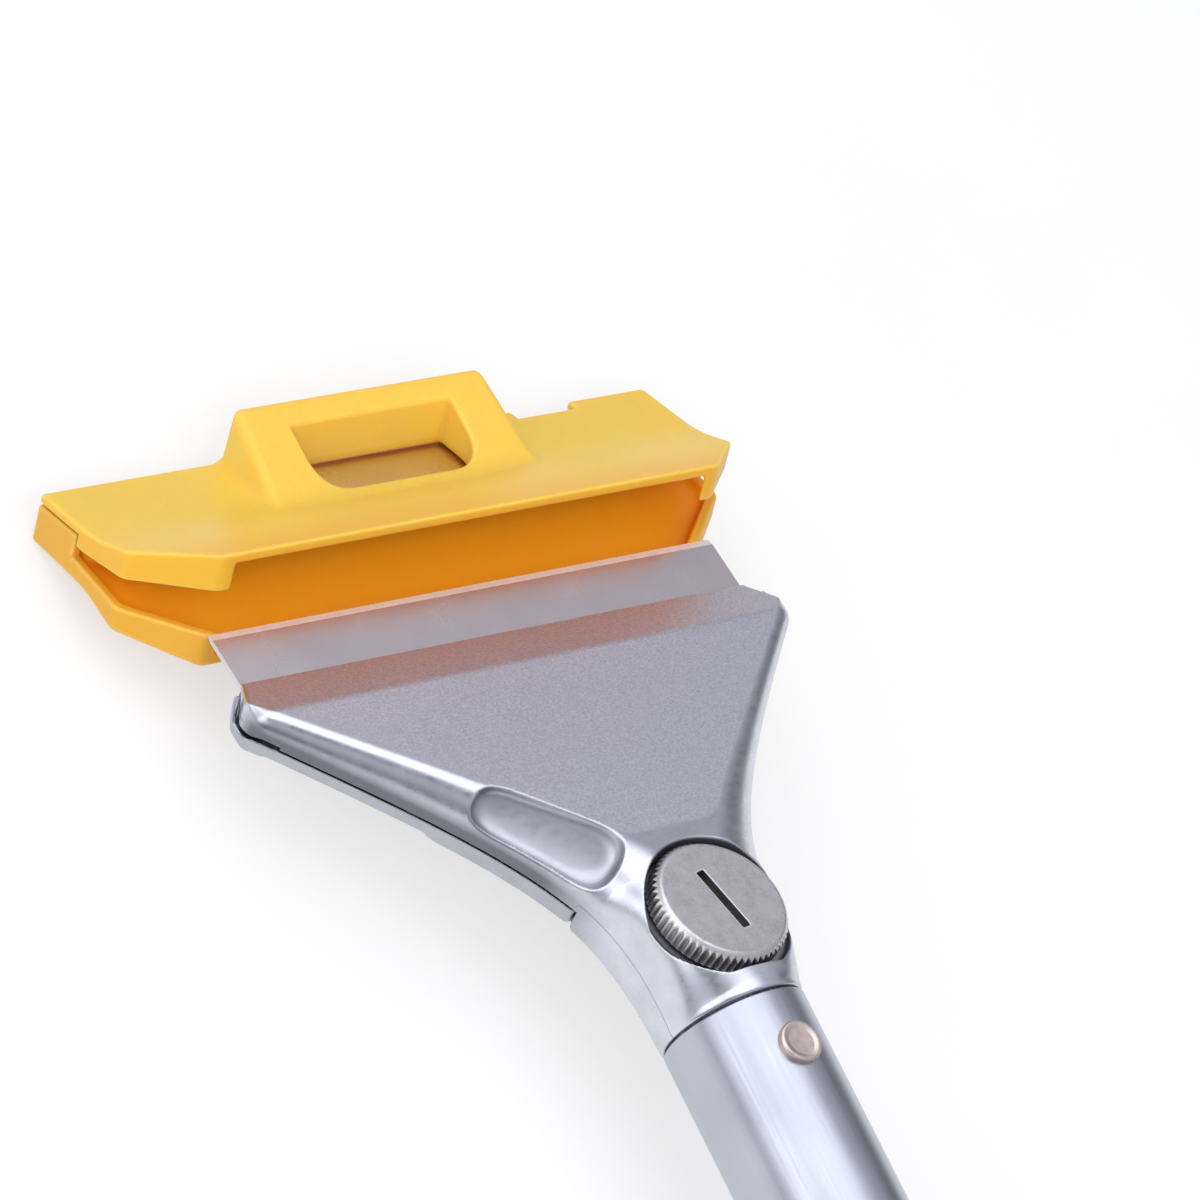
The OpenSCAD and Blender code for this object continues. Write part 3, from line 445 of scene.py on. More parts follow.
def guard_lower(x, y, z):
    wide = np.abs(x)
    rail = np.interp(y, *RAIL_EDGE)
    wall = float(guard_h(SKIRT_END)) - PLATE_T - SEAM - (y - SKIRT_END) * WALL_FALL
    below = np.minimum(z - rail, np.maximum(z - wall, SKIRT_END + SEAM - y))
    body = smooth_max(guard_shell(x, y, z), below, 0.5)
    peg = np.sqrt((wide - PEG_X) ** 2 + (y - PEG_Y) ** 2)
    floor_at = GUARD_WALL - float(guard_h(PEG_Y))
    body = np.minimum(body, np.maximum(peg - BOSS_R, between(z, floor_at - BOSS_ROOT, BOSS_TOP)))
    body = cut(body, np.maximum(peg - PEG_R - BOSS_PLAY, BOSS_HOLE_FOOT - z), 0.2)
    exit_plan = np.maximum(wide - BLADE_W / 2 - EXIT_SIDE, GUARD_D - EXIT_BACK - y)
    return cut(body, np.maximum(exit_plan, SPARE_FOOT - EXIT_UNDER - z), 0.3)


def end_cap(x, y, z):
    """In the handle frame: a round plug end with two flats and a cross hole."""
    r, back = np.sqrt(x * x + z * z), -y
    body = smooth_max(r - GRIP_R, back - HANDLE_LEN, CAP_CROWN)
    body = smooth_max(body, TUBE_LEN + CAP_FRONT - back, 0.8)
    flats = np.maximum(CAP_HALF - np.abs(x), TUBE_LEN + CAP_FLATS_FROM - back)
    body = cut(body, flats, 1.2)
    hole = np.sqrt((back - HANDLE_LEN + HANG_INSET) ** 2 + z * z) - EYELET_R
    return cut(body, hole + 0 * x, 0.5)


# Meshes

def grid(*spans):
    """Grid lines over spans of (from, to, step)."""
    lines = [np.linspace(a, b, max(2, round((b - a) / step) + 1)) for a, b, step in spans]
    return np.unique(np.round(np.concatenate(lines), 6))


CORNERS = [(i, j, k) for i in (0, 1) for j in (0, 1) for k in (0, 1)]
EDGES = [(a, b) for a in range(8) for b in range(a + 1, 8)
         if sum(abs(p - q) for p, q in zip(CORNERS[a], CORNERS[b])) == 1]


def net(field, xs, ys, zs):
    """Quads over the zero of a field: one corner in each grid cell that the skin passes through."""
    value = field(xs[:, None, None], ys[None, :, None], zs[None, None, :]).astype(np.float32)
    inside = value < 0
    nx, ny, nz = (n - 1 for n in value.shape)
    count = sum(inside[i:i + nx, j:j + ny, k:k + nz].astype(np.int8) for i, j, k in CORNERS)
    cells = np.argwhere((count > 0) & (count < 8))
    number = np.full((nx, ny, nz), -1, np.int32)
    number[tuple(cells.T)] = np.arange(len(cells))
    axes = (xs, ys, zs)
    at = [cells + np.array(c) for c in CORNERS]
    level = [value[tuple(a.T)] for a in at]
    place = [np.stack([axes[d][a[:, d]] for d in range(3)], 1) for a in at]
    total, hits = np.zeros((len(cells), 3)), np.zeros(len(cells))
    for a, b in EDGES:
        crossed = (level[a] < 0) != (level[b] < 0)
        t = np.where(crossed, level[a] / np.where(crossed, level[a] - level[b], 1), 0)
        total += np.where(crossed[:, None], place[a] + t[:, None] * (place[b] - place[a]), 0)
        hits += crossed
    quads = []
    for d in range(3):
        low = [slice(1, n) for n in (nx, ny, nz)]
        high = list(low)
        low[d], high[d] = slice(0, (nx, ny, nz)[d]), slice(1, (nx, ny, nz)[d] + 1)
        change = inside[tuple(low)] != inside[tuple(high)]
        spots = np.argwhere(change) + np.array([0 if e == d else 1 for e in range(3)])
        leaves = inside[tuple(spots.T)]
        u, v = [np.eye(3, dtype=int)[(d + e) % 3] for e in (1, 2)]
        ring = [number[tuple((spots - shift).T)] for shift in (0 * u, u, u + v, v)]
        quad = np.stack(ring, 1)
        quad[~leaves] = quad[~leaves][:, ::-1]
        quads.append(quad)
    return total / hits[:, None], np.concatenate(quads)


def slope(field, p, reach):
    """Gradient of a field at points."""
    steps = np.eye(3) * reach
    return np.stack([(field(*(p + e).T) - field(*(p - e).T)) / (2 * reach) for e in steps], 1)


def settle(field, p, most):
    """Points moved onto the zero of a field, and the unit normals there."""
    for _ in range(4):
        g = slope(field, p, 0.01)
        move = (field(*p.T) / np.maximum((g * g).sum(1), 1e-6))[:, None] * g
        size = np.linalg.norm(move, axis=1, keepdims=True)
        p = p - move * np.minimum(1, most / np.maximum(size, 1e-9))
    g = slope(field, p, 0.03)
    return p, g / np.maximum(np.linalg.norm(g, axis=1, keepdims=True), 1e-9)


def curvature(field, p, reach):
    """Convex edges above zero, hollows below."""
    steps = np.eye(3) * reach
    here = field(*p.T)
    return sum(field(*(p + e).T) + field(*(p - e).T) - 2 * here for e in steps) / reach**2


def add_piece(name, points, faces, place, body, nodes, material, normals=None, marks=None):
    """A mesh in a local frame becomes a piece that rides on a body and stands for CAD nodes."""
    matrix = np.array(place)
    mesh = bpy.data.meshes.new(name)
    world = points @ matrix[:3, :3].T + matrix[:3, 3]
    mesh.from_pydata(world.tolist(), [], [list(map(int, f)) for f in faces])
    mesh.validate()
    for mark, values in (marks or {}).items():
        mesh.attributes.new(mark, "FLOAT", "POINT").data.foreach_set("value", values.astype(np.float32))
    if normals is not None:
        mesh.shade_smooth()
        turned = normals @ (matrix[:3, :3] / MM).T
        mesh.normals_split_custom_set_from_vertices(turned.tolist())
    mesh.materials.append(material)
    piece = bpy.data.objects.new(name, mesh)
    bpy.context.scene.collection.objects.link(piece)
    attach(piece, body)
    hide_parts(*nodes)
    return piece


def field_piece(name, field, lines, place, body, nodes, material, marks=None):
    """A piece over the zero of a field, marked where it is worn, where its creases take painted shade, and by
    rules of its own.
    """
    points, quads = net(field, *lines)
    points, normals = settle(field, points, SETTLE_MOST)
    edge = curvature(field, points, CURVE_REACH)
    # Convex curvature marks wear; concave curvature marks the creases that take painted shade.
    found = {"wear": np.clip(edge / CURVE_FULL, 0, 1), "crease_shade": np.clip(-edge / CURVE_FULL, 0, 1)}
    for mark, rule in (marks or {}).items():
        found[mark] = np.clip(rule(*points.T), 0, 1)
    add_piece(name, points, quads, place, body, nodes, material, normals, found)


def turned_piece(name, profile, place, body, nodes, material, around=160, angle=35):
    """A closed profile of (radius, distance back) turned about the frame's Y axis."""
    n, turns = len(profile), np.arange(around) * 2 * math.pi / around
    points = np.array([(r * math.sin(t), -s, r * math.cos(t)) for t in turns for r, s in profile])
    rings = [(i * n, (i + 1) % around * n) for i in range(around)]
    steps = [(j, (j + 1) % n) for j in range(n)]
    faces = [(a + j, a + k, b + k, b + j) for a, b in rings for j, k in steps]
    piece = add_piece(name, points, faces, place, body, nodes, material)
    piece.data.shade_smooth()
    piece.data.set_sharp_from_angle(angle=math.radians(angle))


def rounded(profile, radius, steps=5):
    """A closed profile with its corners rounded by arcs."""
    corners = [np.array(p, float) for p in profile]
    result = []
    for i, here in enumerate(corners):
        before, after = corners[i - 1] - here, corners[(i + 1) % len(corners)] - here
        long_before, long_after = np.linalg.norm(before), np.linalg.norm(after)
        reach = min(radius, 0.45 * long_before, 0.45 * long_after)
        a, b = here + before / long_before * reach, here + after / long_after * reach
        for t in np.linspace(0, 1, steps):
            result.append(tuple((1 - t) ** 2 * a + 2 * t * (1 - t) * here + t**2 * b))
    return result


# Materials

class Look:
    """A material with a Principled shader and short calls for the nodes that feed it."""

    def __init__(self, name, color, metallic=0.0, roughness=0.5, **sockets):
        self.material = bpy.data.materials.new(name)
        self.material.use_nodes = True
        self.tree = self.material.node_tree
        self.shader = self.tree.nodes["Principled BSDF"]
        self.set("Base Color", (*color, 1))
        self.set("Metallic", metallic)
        self.set("Roughness", roughness)
        for socket, value in sockets.items():
            self.set(socket.replace("_", " "), value)
        self.place = self.node("ShaderNodeTexCoord").outputs["Object"]

    def node(self, kind, **inputs):
        made = self.tree.nodes.new(kind)
        for key, value in inputs.items():
            self.feed(made.inputs[key.replace("_", " ")], value)
        return made

    def feed(self, socket, value):
        if isinstance(value, bpy.types.NodeSocket):
            self.tree.links.new(value, socket)
        else:
            socket.default_value = value

    def set(self, socket, value):
        self.feed(self.shader.inputs[socket], value)

    def noise(self, scale, detail=3.0, stretch=None, roughness=0.5):
        """Noise over the object, scale in grains per millimetre."""
        spot = self.place
        if stretch:
            spot = self.node("ShaderNodeMapping", Vector=self.place, Scale=stretch).outputs["Vector"]
        made = self.node("ShaderNodeTexNoise", Vector=spot, Scale=scale / MM, Detail=detail,
                         Roughness=roughness)
        return made.outputs["Fac"]

    def range(self, value, low, high, to_low=0.0, to_high=1.0):
        made = self.node("ShaderNodeMapRange", Value=value, From_Min=low, From_Max=high,
                         To_Min=to_low, To_Max=to_high)
        return made.outputs["Result"]

    def mix(self, factor, a, b):
        made = self.tree.nodes.new("ShaderNodeMix")
        made.data_type = "RGBA"
        self.feed(made.inputs["Factor"], factor)
        self.feed(made.inputs[6], a if isinstance(a, bpy.types.NodeSocket) else (*a, 1))
        self.feed(made.inputs[7], b if isinstance(b, bpy.types.NodeSocket) else (*b, 1))
        return made.outputs[2]

    def math(self, operation, a, b=0.0):
        made = self.tree.nodes.new("ShaderNodeMath")
        made.operation = operation
        self.feed(made.inputs[0], a)
        self.feed(made.inputs[1], b)
        return made.outputs[0]

    def blend(self, factor, a, b):
        return self.node("ShaderNodeMix", Factor=factor, A=a, B=b).outputs["Result"]

    def mark(self, name):
        made = self.tree.nodes.new("ShaderNodeAttribute")
        made.attribute_name = name
        return made.outputs["Fac"]

    def bump(self, height, strength, distance_mm, under=None):
        made = self.node("ShaderNodeBump", Height=height, Strength=strength, Distance=distance_mm * MM)
        if under:
            self.feed(made.inputs["Normal"], under)
        self.set("Normal", made.outputs["Normal"])
        return made.outputs["Normal"]


def cast_metal(name, shade):
    """Polished rims whose foot, down to the parting line, is painted dark for the dark reflection there; a
    blasted grey face; a rougher cast hollow round the knob and in the thumb scoop, painted dark as shade,
    with painted shade deeper in its creases. The shade argument darkens the polish of a whole part as painted
    shade.
    """
    look = Look(name, (0.66, 0.67, 0.71), metallic=1.0)
    blast, hollow_rough_shade, flank = look.mark("blast"), look.mark("hollow_rough_shade"), look.mark("flank")
    grain, rubbed = look.noise(2.4, 2, roughness=0.7), look.noise(1.1, 4, stretch=(0.35, 1.0, 1.0))
    smooth = look.range(rubbed, 0.3, 0.7, 0.26, 0.36)
    rough = look.range(grain, 0.3, 0.7, 0.40, 0.50)
    look.set("Roughness", look.blend(hollow_rough_shade, look.blend(blast, smooth, rough), 0.55))
    speckle = look.mix(look.range(grain, 0.35, 0.65), BLAST_DARK, BLAST_PALE)
    dark, pale = ([shade * c for c in tone] for tone in (POLISH_DARK, POLISH_PALE))
    polish = look.mix(look.range(look.noise(0.25, 4), 0.3, 0.7), dark, pale)
    # Painted dark reflection on the rim's foot, down to the parting line.
    flank_shaded = look.mix(look.math("MULTIPLY", flank, 0.9), polish, FLANK_SHADE_GREY)
    near = look.math("ABSOLUTE", look.math("SUBTRACT", look.mark("parting"), 0.5))
    lined = look.mix(look.range(near, 0.02, 0.045, 0.5, 0), flank_shaded, PARTING_GREY)
    # The rough cast hollows round the knob and in the scoop are painted darker as shade.
    finished = look.mix(hollow_rough_shade, look.mix(blast, lined, speckle), HOLLOW_SHADE_GREY)
    # Painted shade in the creases of those hollows.
    hollow_shade = look.math("MULTIPLY", look.range(look.mark("crease_shade"), 0.05, 0.6), hollow_rough_shade)
    look.set("Base Color", look.mix(hollow_shade, finished, HOLLOW_CREASE_SHADE))
    fine = look.math("MULTIPLY", grain, look.range(blast, 0, 1, 0.06, 1))
    look.bump(rubbed, 0.05, 0.03, look.bump(fine, 0.35, 0.05))
    return look.material


def blade_steel():
    look = Look("blade_steel", (0.56, 0.54, 0.56), metallic=1.0, roughness=0.3)
    cloud = look.noise(0.08, 3)
    look.set("Roughness", look.range(cloud, 0.1, 0.9, 0.25, 0.29))
    look.set("Base Color", look.mix(look.range(cloud, 0.1, 0.9), BLADE_DARK, BLADE_PALE))
    return look.material


def ground_steel():
    """The ground strip along a cutting edge, with its fine cross strokes."""
    look = Look("ground_steel", (0.95, 0.90, 0.84), metallic=0.6)
    strokes = look.noise(4.0, 3, stretch=(1.0, 0.08, 0.08))
    look.set("Roughness", look.range(strokes, 0.3, 0.7, 0.42, 0.56))
    look.set("Base Color", look.mix(look.range(strokes, 0.3, 0.7), GROUND_DARK, GROUND_PALE))
    look.bump(strokes, 0.15, 0.01)
    return look.material


def knob_metal():
    look = Look("knob_metal", (0.5, 0.49, 0.5), metallic=1.0)
    stain, fine = look.noise(0.35, 5, roughness=0.65), look.noise(3.0, 2)
    cloudy = look.mix(look.range(stain, 0.35, 0.68), KNOB_PALE, KNOB_DARK)
    aged = look.mix(look.range(fine, 0.4, 0.7, 0, 0.45), cloudy, KNOB_FLECK)
    ringed = look.mix(look.math("MULTIPLY", look.mark("ring"), 0.85), aged, KNOB_RING)
    worn = look.mix(look.range(look.mark("wear"), 0.2, 0.8, 0, 0.7), ringed, KNOB_WORN)
    # Painted shade in the knob's creases and flute valleys.
    crease_shaded = look.mix(look.range(look.mark("crease_shade"), 0.08, 0.5), worn, KNOB_CREASE_SHADE)
    # The coin slot's inside is painted dark as shade.
    look.set("Base Color", look.mix(look.mark("groove"), crease_shaded, KNOB_SLOT_SHADE))
    look.set("Roughness", look.range(stain, 0.3, 0.7, 0.36, 0.50))
    look.bump(fine, 0.15, 0.03)
    return look.material


def plain_steel(name, color, roughness):
    look = Look(name, color, metallic=1.0)
    fine = look.noise(1.5, 4)
    look.set("Roughness", look.range(fine, 0.3, 0.7, roughness - 0.06, roughness + 0.08))
    look.set("Base Color", look.mix(look.range(fine, 0.3, 0.7), [c * 0.9 for c in color], color))
    look.bump(fine, 0.08, 0.02)
    return look.material


def tube_metal():
    look = Look("tube_metal", (0.52, 0.54, 0.58), metallic=1.0, Anisotropic=0.3)
    strokes = look.noise(2.2, 3, stretch=(1.0, 0.03, 1.0))
    cloud = look.noise(0.06, 3)
    look.set("Roughness", look.range(strokes, 0.3, 0.7, 0.28, 0.38))
    look.set("Base Color", look.mix(look.range(cloud, 0.35, 0.65), TUBE_DARK, TUBE_PALE))
    look.bump(strokes, 0.10, 0.02)
    return look.material


def guard_plastic(name, color, soak):
    """Yellow moulded plastic: light soaks in; the hollow is painted a deeper orange for the light that
    bounces in it, the lid's top painted paler for a sheen, and creases painted darker as shade.
    """
    look = Look(name, color, roughness=0.4, Subsurface_Weight=soak, Subsurface_Scale=0.003,
                Subsurface_Radius=(1.0, 0.40, 0.03), Specular_IOR_Level=0.5)
    cloud, grain = look.noise(0.05, 3), look.noise(1.6, 3)
    plain = look.mix(look.range(cloud, 0.3, 0.7), [0.96 * c for c in color], color)
    # Painted sheen: the lid's top is paler.
    tone = look.mix(look.math("MULTIPLY", look.mark("lid_sheen"), 0.55), plain, YELLOW_LID_SHEEN)
    scuffed = look.mix(look.range(look.mark("wear"), 0.2, 0.9, 0, 0.35), tone, YELLOW_SCUFFED)
    # Painted bounce light: the hollow is a deeper orange.
    bounce_lit = look.mix(look.mark("inner"), scuffed, YELLOW_HOLLOW_BOUNCE)
    # Painted shade in the creases.
    crease_shaded = look.mix(look.range(look.mark("crease_shade"), 0.1, 0.7, 0, 0.4), bounce_lit, YELLOW_CREASE_SHADE)
    look.set("Base Color", crease_shaded)
    look.set("Roughness", look.range(cloud, 0.3, 0.7, 0.36, 0.46))
    look.bump(grain, 0.06, 0.04)
    return look.material


def dark_rubber(name, color, roughness):
    look = Look(name, color, roughness=roughness)
    grain, cloud = look.noise(2.5, 4), look.noise(0.05, 3)
    look.set("Roughness", look.range(cloud, 0.3, 0.7, roughness - 0.08, roughness + 0.08))
    look.set("Base Color", look.mix(look.range(cloud, 0.3, 0.7), color, [c * 1.7 for c in color]))
    look.bump(grain, 0.3, 0.06)
    return look.material


# The jaw takes a darker copy of the cast metal, as painted shade for its side.
cast, jaw_shaded_look = cast_metal("cast_metal", 1.0), cast_metal("jaw_metal_shaded", 0.7)
knob_look, blade_look, ground_look = knob_metal(), blade_steel(), ground_steel()
guard_look, tube_look = guard_plastic("guard_plastic", YELLOW, 0.6), tube_metal()
# The lower moulding takes a darker copy of the plastic, as painted shade.
guard_low_shaded_look = guard_plastic("guard_plastic_low_shaded", YELLOW_LOW_SHADED, 0.2)
bare_look = plain_steel("bare_steel", (0.58, 0.58, 0.60), 0.34)
rivet_look = plain_steel("rivet_metal", (0.80, 0.68, 0.62), 0.36)
brass_look = plain_steel("bush_brass", (0.78, 0.58, 0.28), 0.34)
rubber_look = dark_rubber("grip_rubber", (0.018, 0.018, 0.019), 0.62)
cap_look = dark_rubber("cap_plastic", (0.022, 0.022, 0.024), 0.48)


# Head, jaw and knob

def on_blasted_face(x, y, z):
    s = -BLADE_OUT - y
    on_top = ramp(np.abs(z - top_h(s)), 0.35, 0.15)
    edge = smooth_min(face_half(s) - np.abs(x), BLAST_END - s, 3.0)
    return ramp(edge, -0.3, 0.3) * on_top


def on_flank(x, y, z):
    """The foot of the casting's side, down to the parting line, from the nose to the neck, painted dark for
    the dark reflection there.
    """
    s = -BLADE_OUT - y
    beside = ramp(np.abs(x) - outline_half(s), -2.2, -1.0)
    along = ramp(s, NOSE_D, NOSE_D + 3) * ramp(s, NECK_FRONT + 6, NECK_FRONT - 6)
    return ramp(z, 4.0, 1.6) * beside * along


def off_parting_line(x, y, z):
    """Height over the mould's parting line along the neck, a half on the line itself."""
    s = -BLADE_OUT - y
    part = ramp(s, NECK_FRONT, NECK_BACK)
    foot = RIM_FOOT * (1 - part) + axis_h(s) * part
    return 0.5 + (z - foot) / 4 + np.maximum(NECK_FRONT - s, 0) / 2


def in_hollows(x, y, z):
    """The pocket round the knob, and to a lesser degree the thumb scoop: a rougher cast finish there, and
    painted shade in their colour.
    """
    pocket, scoop = (ramp(tool(x, y, z), 0.32, -0.08) for tool in (knob_pocket, thumb_scoop))
    return np.maximum(pocket, 0.4 * scoop)


# The inside of the coin slot, which is painted dark as shade.
def in_groove(x, y, z):
    return ramp(coin_slot(x, y, z), 0.1, -0.05) * (z < KNOB_TOP - 0.2)


def on_chamfer(x, y, z):
    inner_r = KNOB_R - KNOB_CHAMFER
    return ramp(np.sqrt(x * x + y * y), inner_r, inner_r + 0.2) * (z > KNOB_TOP - KNOB_CHAMFER)


head_lines = (
    grid((-54.2, -49, 0.26), (-49, -14, 0.42), (-14, 14, 0.22), (14, 49, 0.42), (49, 54.2, 0.26)),
    grid((-96.5, -86, 0.42), (-86, -57, 0.22), (-57, -24, 0.42), (-24, -10, 0.25)),
    grid((-15.4, -1.6, 0.5), (-1.6, 1.5, 0.14), (1.5, 6, 0.36), (6, 12.5, 0.25)))
field_piece("head_shell", head_casting, head_lines, head_frame, "head", ["head_casting"], cast,
            {"blast": on_blasted_face, "hollow_rough_shade": in_hollows, "flank": on_flank, "parting": off_parting_line})
jaw_lines = (
    grid((-54.4, -49, 0.26), (-49, 49, 0.5), (49, 54.4, 0.26)),
    grid((-81, -24, 0.5), (-24, -10, 0.25)),
    grid((-11, -4.7, 0.5), (-4.7, 2.3, 0.2)))
field_piece("lower_jaw", jaw_plate, jaw_lines, head_frame, "lower_jaw", ["jaw_plate"], jaw_shaded_look)
knob_frame = head_frame @ Matrix.Translation((0, -KNOB_BACK, 0))
knob_lines = (grid((-11.9, 11.9, 0.16)), grid((-11.9, 11.9, 0.16)), grid((6.5, 11.2, 0.16)))
field_piece("clamp_knob", knob, knob_lines, knob_frame, "clamp_knob", ["knob"], knob_look,
            {"ring": on_chamfer, "groove": in_groove})


# Guard

# Inside of the guard's shell, painted a deeper orange for the light that bounces in it.
def in_hollow(x, y, z):
    return ramp(guard_block(x, y, z, 0, HOLLOW_AHEAD, 0.5), -0.9, -1.5)


# The lid's top, which takes a painted sheen.
def on_lid(x, y, z):
    return (z - guard_h(y) + 0.6) / 0.5 * ramp(y, 2, 11)


guard_plan = (grid((-61, 61, 0.45)), grid((-0.6, 36, 0.4)))
guard_marks = {"inner": in_hollow, "lid_sheen": on_lid}
field_piece("guard_top", guard_upper, (*guard_plan, grid((-2, 13.8, 0.36))),
            guard_frame, "guard", ["guard_upper"], guard_look, guard_marks)
field_piece("guard_bottom", guard_lower, (*guard_plan, grid((-10.6, 3.4, 0.36))),
            guard_frame, "guard", ["guard_lower"], guard_low_shaded_look, guard_marks)


# Blades

def blade_mesh(name, place, body, node):
    half, land = BLADE_T / 2, BLADE_LAND
    profile = [(0, -land), (0, land), (-BLADE_BEVEL, half), (-BLADE_D + BLADE_BEVEL, half), (-BLADE_D, land),
               (-BLADE_D, -land), (-BLADE_D + BLADE_BEVEL, -half), (-BLADE_BEVEL, -half)]
    stations = np.linspace(-BLADE_W / 2, BLADE_W / 2, BLADE_STATIONS)
    n = len(profile)
    points = np.array([(x, y, z) for x in stations for y, z in profile])
    faces = [(i * n + j, i * n + (j + 1) % n, (i + 1) * n + (j + 1) % n, (i + 1) * n + j)
             for i in range(len(stations) - 1) for j in range(n)]
    faces += [tuple(range(n))[::-1], tuple((len(stations) - 1) * n + j for j in range(n))]
    piece = add_piece(name, points, faces, place, body, [node], blade_look)
    piece.data.materials.append(ground_look)
    for face in piece.data.polygons[:n * (len(stations) - 1)]:
        face.material_index = 0 if face.index % n in BLADE_FLAT_SIDES else 1


blade_mesh("cutting_blade", head_frame, "cutter", "blade")
blade_mesh("stored_blade", guard_frame @ Matrix.Translation((0, SPARE_BACK, SPARE_FOOT + BLADE_T / 2)),
           "spare", "spare_blade")


# Handle

def grip_profile():
    start, step = TUBE_LEN - GRIP_LEN, (GRIP_LEN - 2 * GRIP_PLAIN) / GRIP_RIBS
    end, bore = TUBE_LEN - GRIP_END_GAP, TUBE_R + GRIP_PLAY
    skin = [(bore, start), (GRIP_R - GRIP_NOSE_IN, start), (GRIP_R, start + GRIP_NOSE)]
    for i in range(GRIP_RIBS):
        s = start + GRIP_PLAIN + i * step
        skin += [(GRIP_R - depth, s + step * share) for depth, share in GRIP_RIB]
    skin += [(GRIP_R, TUBE_LEN - GRIP_PLAIN), (GRIP_R, end), (bore, end)]
    return rounded(skin, 0.9, 4)


tube_profile = [(TUBE_BORE_R, TUBE_GAP), (TUBE_R, TUBE_GAP), (TUBE_R, TUBE_LEN), (TUBE_BORE_R, TUBE_LEN)]
turned_piece("handle_tube", rounded(tube_profile, 0.35), handle_frame, "head", ["tube"], tube_look)
rivet_place = (handle_frame @ Matrix.Translation((0, -RIVET_BACK, 0))
               @ Matrix.Rotation(math.radians(-90), 4, "X"))
rivet_half = [(RIVET_SHANK_R, RIVET_UNDER), (RIVET_HEAD_R, RIVET_UNDER),
              (RIVET_HEAD_R, RIVET_TOP - RIVET_EDGE)]
rivet_half += [(r, RIVET_TOP - depth) for r, depth in RIVET_DISH]
rivet_profile = rivet_half + [(r, -s) for r, s in rivet_half[::-1]]
turned_piece("tube_rivet_heads", rounded(rivet_profile, 0.3), rivet_place, "head", ["tube_rivet"],
             rivet_look, 96)
turned_piece("rubber_grip", grip_profile(), handle_frame, "head", ["grip"], rubber_look, 144, 60)
cap_across = grid((-15.2, 15.2, 0.5))
cap_lines = (cap_across, grid((-HANDLE_LEN - 0.8, -TUBE_LEN + 0.4, 0.5)), cap_across)
field_piece("handle_end", end_cap, cap_lines, handle_frame, "head", ["end_cap"], cap_look)
hang_place = (handle_frame @ Matrix.Translation((0, -HANDLE_LEN + HANG_INSET, 0))
              @ Matrix.Rotation(math.radians(90), 4, "Z"))
rim_r, rim_top = EYELET_R + EYELET_RIM, CAP_HALF + EYELET_RIM_T
eyelet_half = [(EYELET_R, CAP_HALF), (rim_r, CAP_HALF), (rim_r, rim_top), (EYELET_BORE_R, rim_top)]
eyelet_profile = [(r, -s) for r, s in eyelet_half[::-1]] + eyelet_half
turned_piece("hang_eyelet_ring", rounded(eyelet_profile, 0.25), hang_place, "head", ["hang_eyelet"],
             bare_look, 96)

# Inner pieces keep their solids and take a finish
STEEL_NODES = ("knob_stud", "knob_washer", "clip_washer", "stud_clip", "jaw_spring", "guide_pins", "cap_pin")
inner_looks = {"jaw_insert": brass_look, **{node: bare_look for node in STEEL_NODES}}
for node, look in inner_looks.items():
    mesh = frame["nodes"][node].data
    mesh.materials.clear()
    mesh.materials.append(look)


# Stage: floor, light and camera

def pale_floor():
    """White to the eye and in reflections, and still shaded by the object."""
    look = Look("pale_floor", (0.88, 0.88, 0.88), roughness=0.9)
    grain = look.noise(0.02, 3)
    look.set("Base Color", look.mix(look.range(grain, 0.3, 0.7), FLOOR_DARK, FLOOR_PALE))
    path = look.node("ShaderNodeLightPath")
    seen = look.math("MAXIMUM", path.outputs["Is Camera Ray"], path.outputs["Is Glossy Ray"])
    seen = look.math("MAXIMUM", seen, path.outputs["Is Transmission Ray"])
    white = look.node("ShaderNodeEmission", Color=(1, 1, 1, 1), Strength=1.0)
    both = look.tree.nodes.new("ShaderNodeMixShader")
    look.feed(both.inputs[0], look.math("MULTIPLY", seen, FLOOR_WHITE))
    look.feed(both.inputs[1], look.shader.outputs[0])
    look.feed(both.inputs[2], white.outputs[0])
    look.feed(look.tree.nodes["Material Output"].inputs["Surface"], both.outputs[0])
    bpy.ops.mesh.primitive_plane_add(size=FLOOR_SIZE, location=(0, 0, 0))
    floor = bpy.context.object
    floor.name = "floor"
    floor.data.materials.append(look.material)


def soft_lamp(name, place, aim, size, power, color, mirrored):
    lamp = bpy.data.lights.new(name, "AREA")
    lamp.shape, lamp.size, lamp.energy, lamp.color = "DISK", size, power, color
    obj = bpy.data.objects.new(name, lamp)
    obj.location = place
    obj.rotation_mode = "QUATERNION"
    obj.rotation_quaternion = (Vector(aim) - Vector(place)).to_track_quat("-Z", "Y")
    obj.visible_glossy = mirrored
    bpy.context.scene.collection.objects.link(obj)


def heading(azimuth, elevation):
    """Unit vector from degrees: azimuth from X towards Y, elevation from the floor."""
    a, e = math.radians(azimuth), math.radians(elevation)
    return Vector((math.cos(a) * math.cos(e), math.sin(a) * math.cos(e), math.sin(e)))


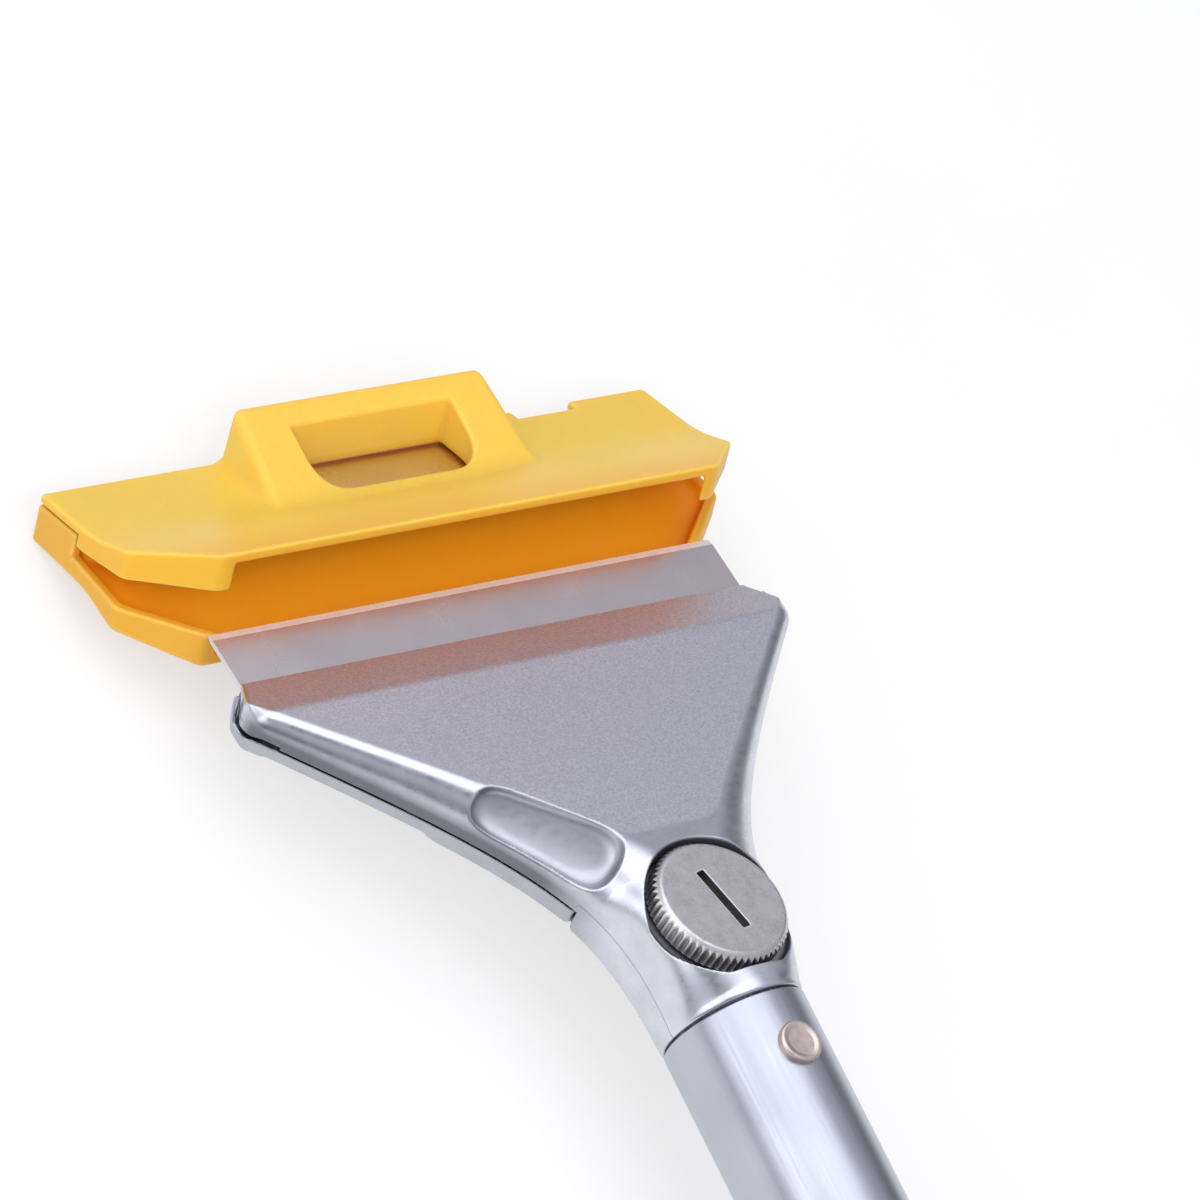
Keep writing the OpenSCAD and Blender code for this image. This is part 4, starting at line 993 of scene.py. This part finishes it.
def studio_world():
    """A dim room with a pale ceiling, a bright left wall, a dark right one and a dark spot over the viewer.

    To the eye itself it is white."""
    world = bpy.data.worlds.new("studio")
    bpy.context.scene.world = world
    world.use_nodes = True
    nodes, links = world.node_tree.nodes, world.node_tree.links
    spot = nodes.new("ShaderNodeTexCoord").outputs["Generated"]
    tone = nodes.new("ShaderNodeRGB").outputs[0]
    tone.default_value = (*ROOM_TONE, 1)

    def layered(factor, under, colour):
        layer = nodes.new("ShaderNodeMix")
        layer.data_type = "RGBA"
        links.new(factor, layer.inputs["Factor"])
        links.new(under, layer.inputs[6])
        layer.inputs[7].default_value = (*colour, 1)
        return layer.outputs[2]

    for toward, edge, core, colour in ROOM_PATCHES:
        along = nodes.new("ShaderNodeVectorMath")
        along.operation = "DOT_PRODUCT"
        along.inputs[1].default_value = heading(*toward)
        links.new(spot, along.inputs[0])
        near = nodes.new("ShaderNodeMapRange")
        near.interpolation_type = "SMOOTHSTEP"
        near.inputs["From Min"].default_value = math.cos(math.radians(edge))
        near.inputs["From Max"].default_value = math.cos(math.radians(core))
        links.new(along.outputs["Value"], near.inputs["Value"])
        tone = layered(near.outputs["Result"], tone, colour)
    seen = layered(nodes.new("ShaderNodeLightPath").outputs["Is Camera Ray"], tone, (1, 1, 1))
    links.new(seen, nodes["Background"].inputs["Color"])


def photo_camera():
    camera = bpy.data.cameras.new("photo_camera")
    camera.sensor_width = SENSOR_MM
    camera.lens = FOCAL_PX * SENSOR_MM / PICTURE_PX
    camera.clip_start, camera.clip_end = 0.01, 20
    obj = bpy.data.objects.new("photo_camera", camera)
    turn = head_frame.to_3x3() * (1 / MM)
    right, up = turn @ Vector(CAMERA_RIGHT).normalized(), -(turn @ Vector(CAMERA_DOWN).normalized())
    up = (up - right * up.dot(right)).normalized()
    axes = Matrix((right, up, right.cross(up))).transposed()
    obj.matrix_world = Matrix.Translation(head_frame @ Vector(CAMERA_AT)) @ axes.to_4x4()
    bpy.context.scene.collection.objects.link(obj)
    bpy.context.scene.camera = obj


pale_floor()
studio_world()
for name, (toward, size, power, color, mirrored) in LAMPS.items():
    soft_lamp(name, Vector(LAMP_AIM) + heading(*toward), LAMP_AIM, size, power, color, mirrored)
photo_camera()
bpy.context.scene.view_settings.view_transform = "Standard"
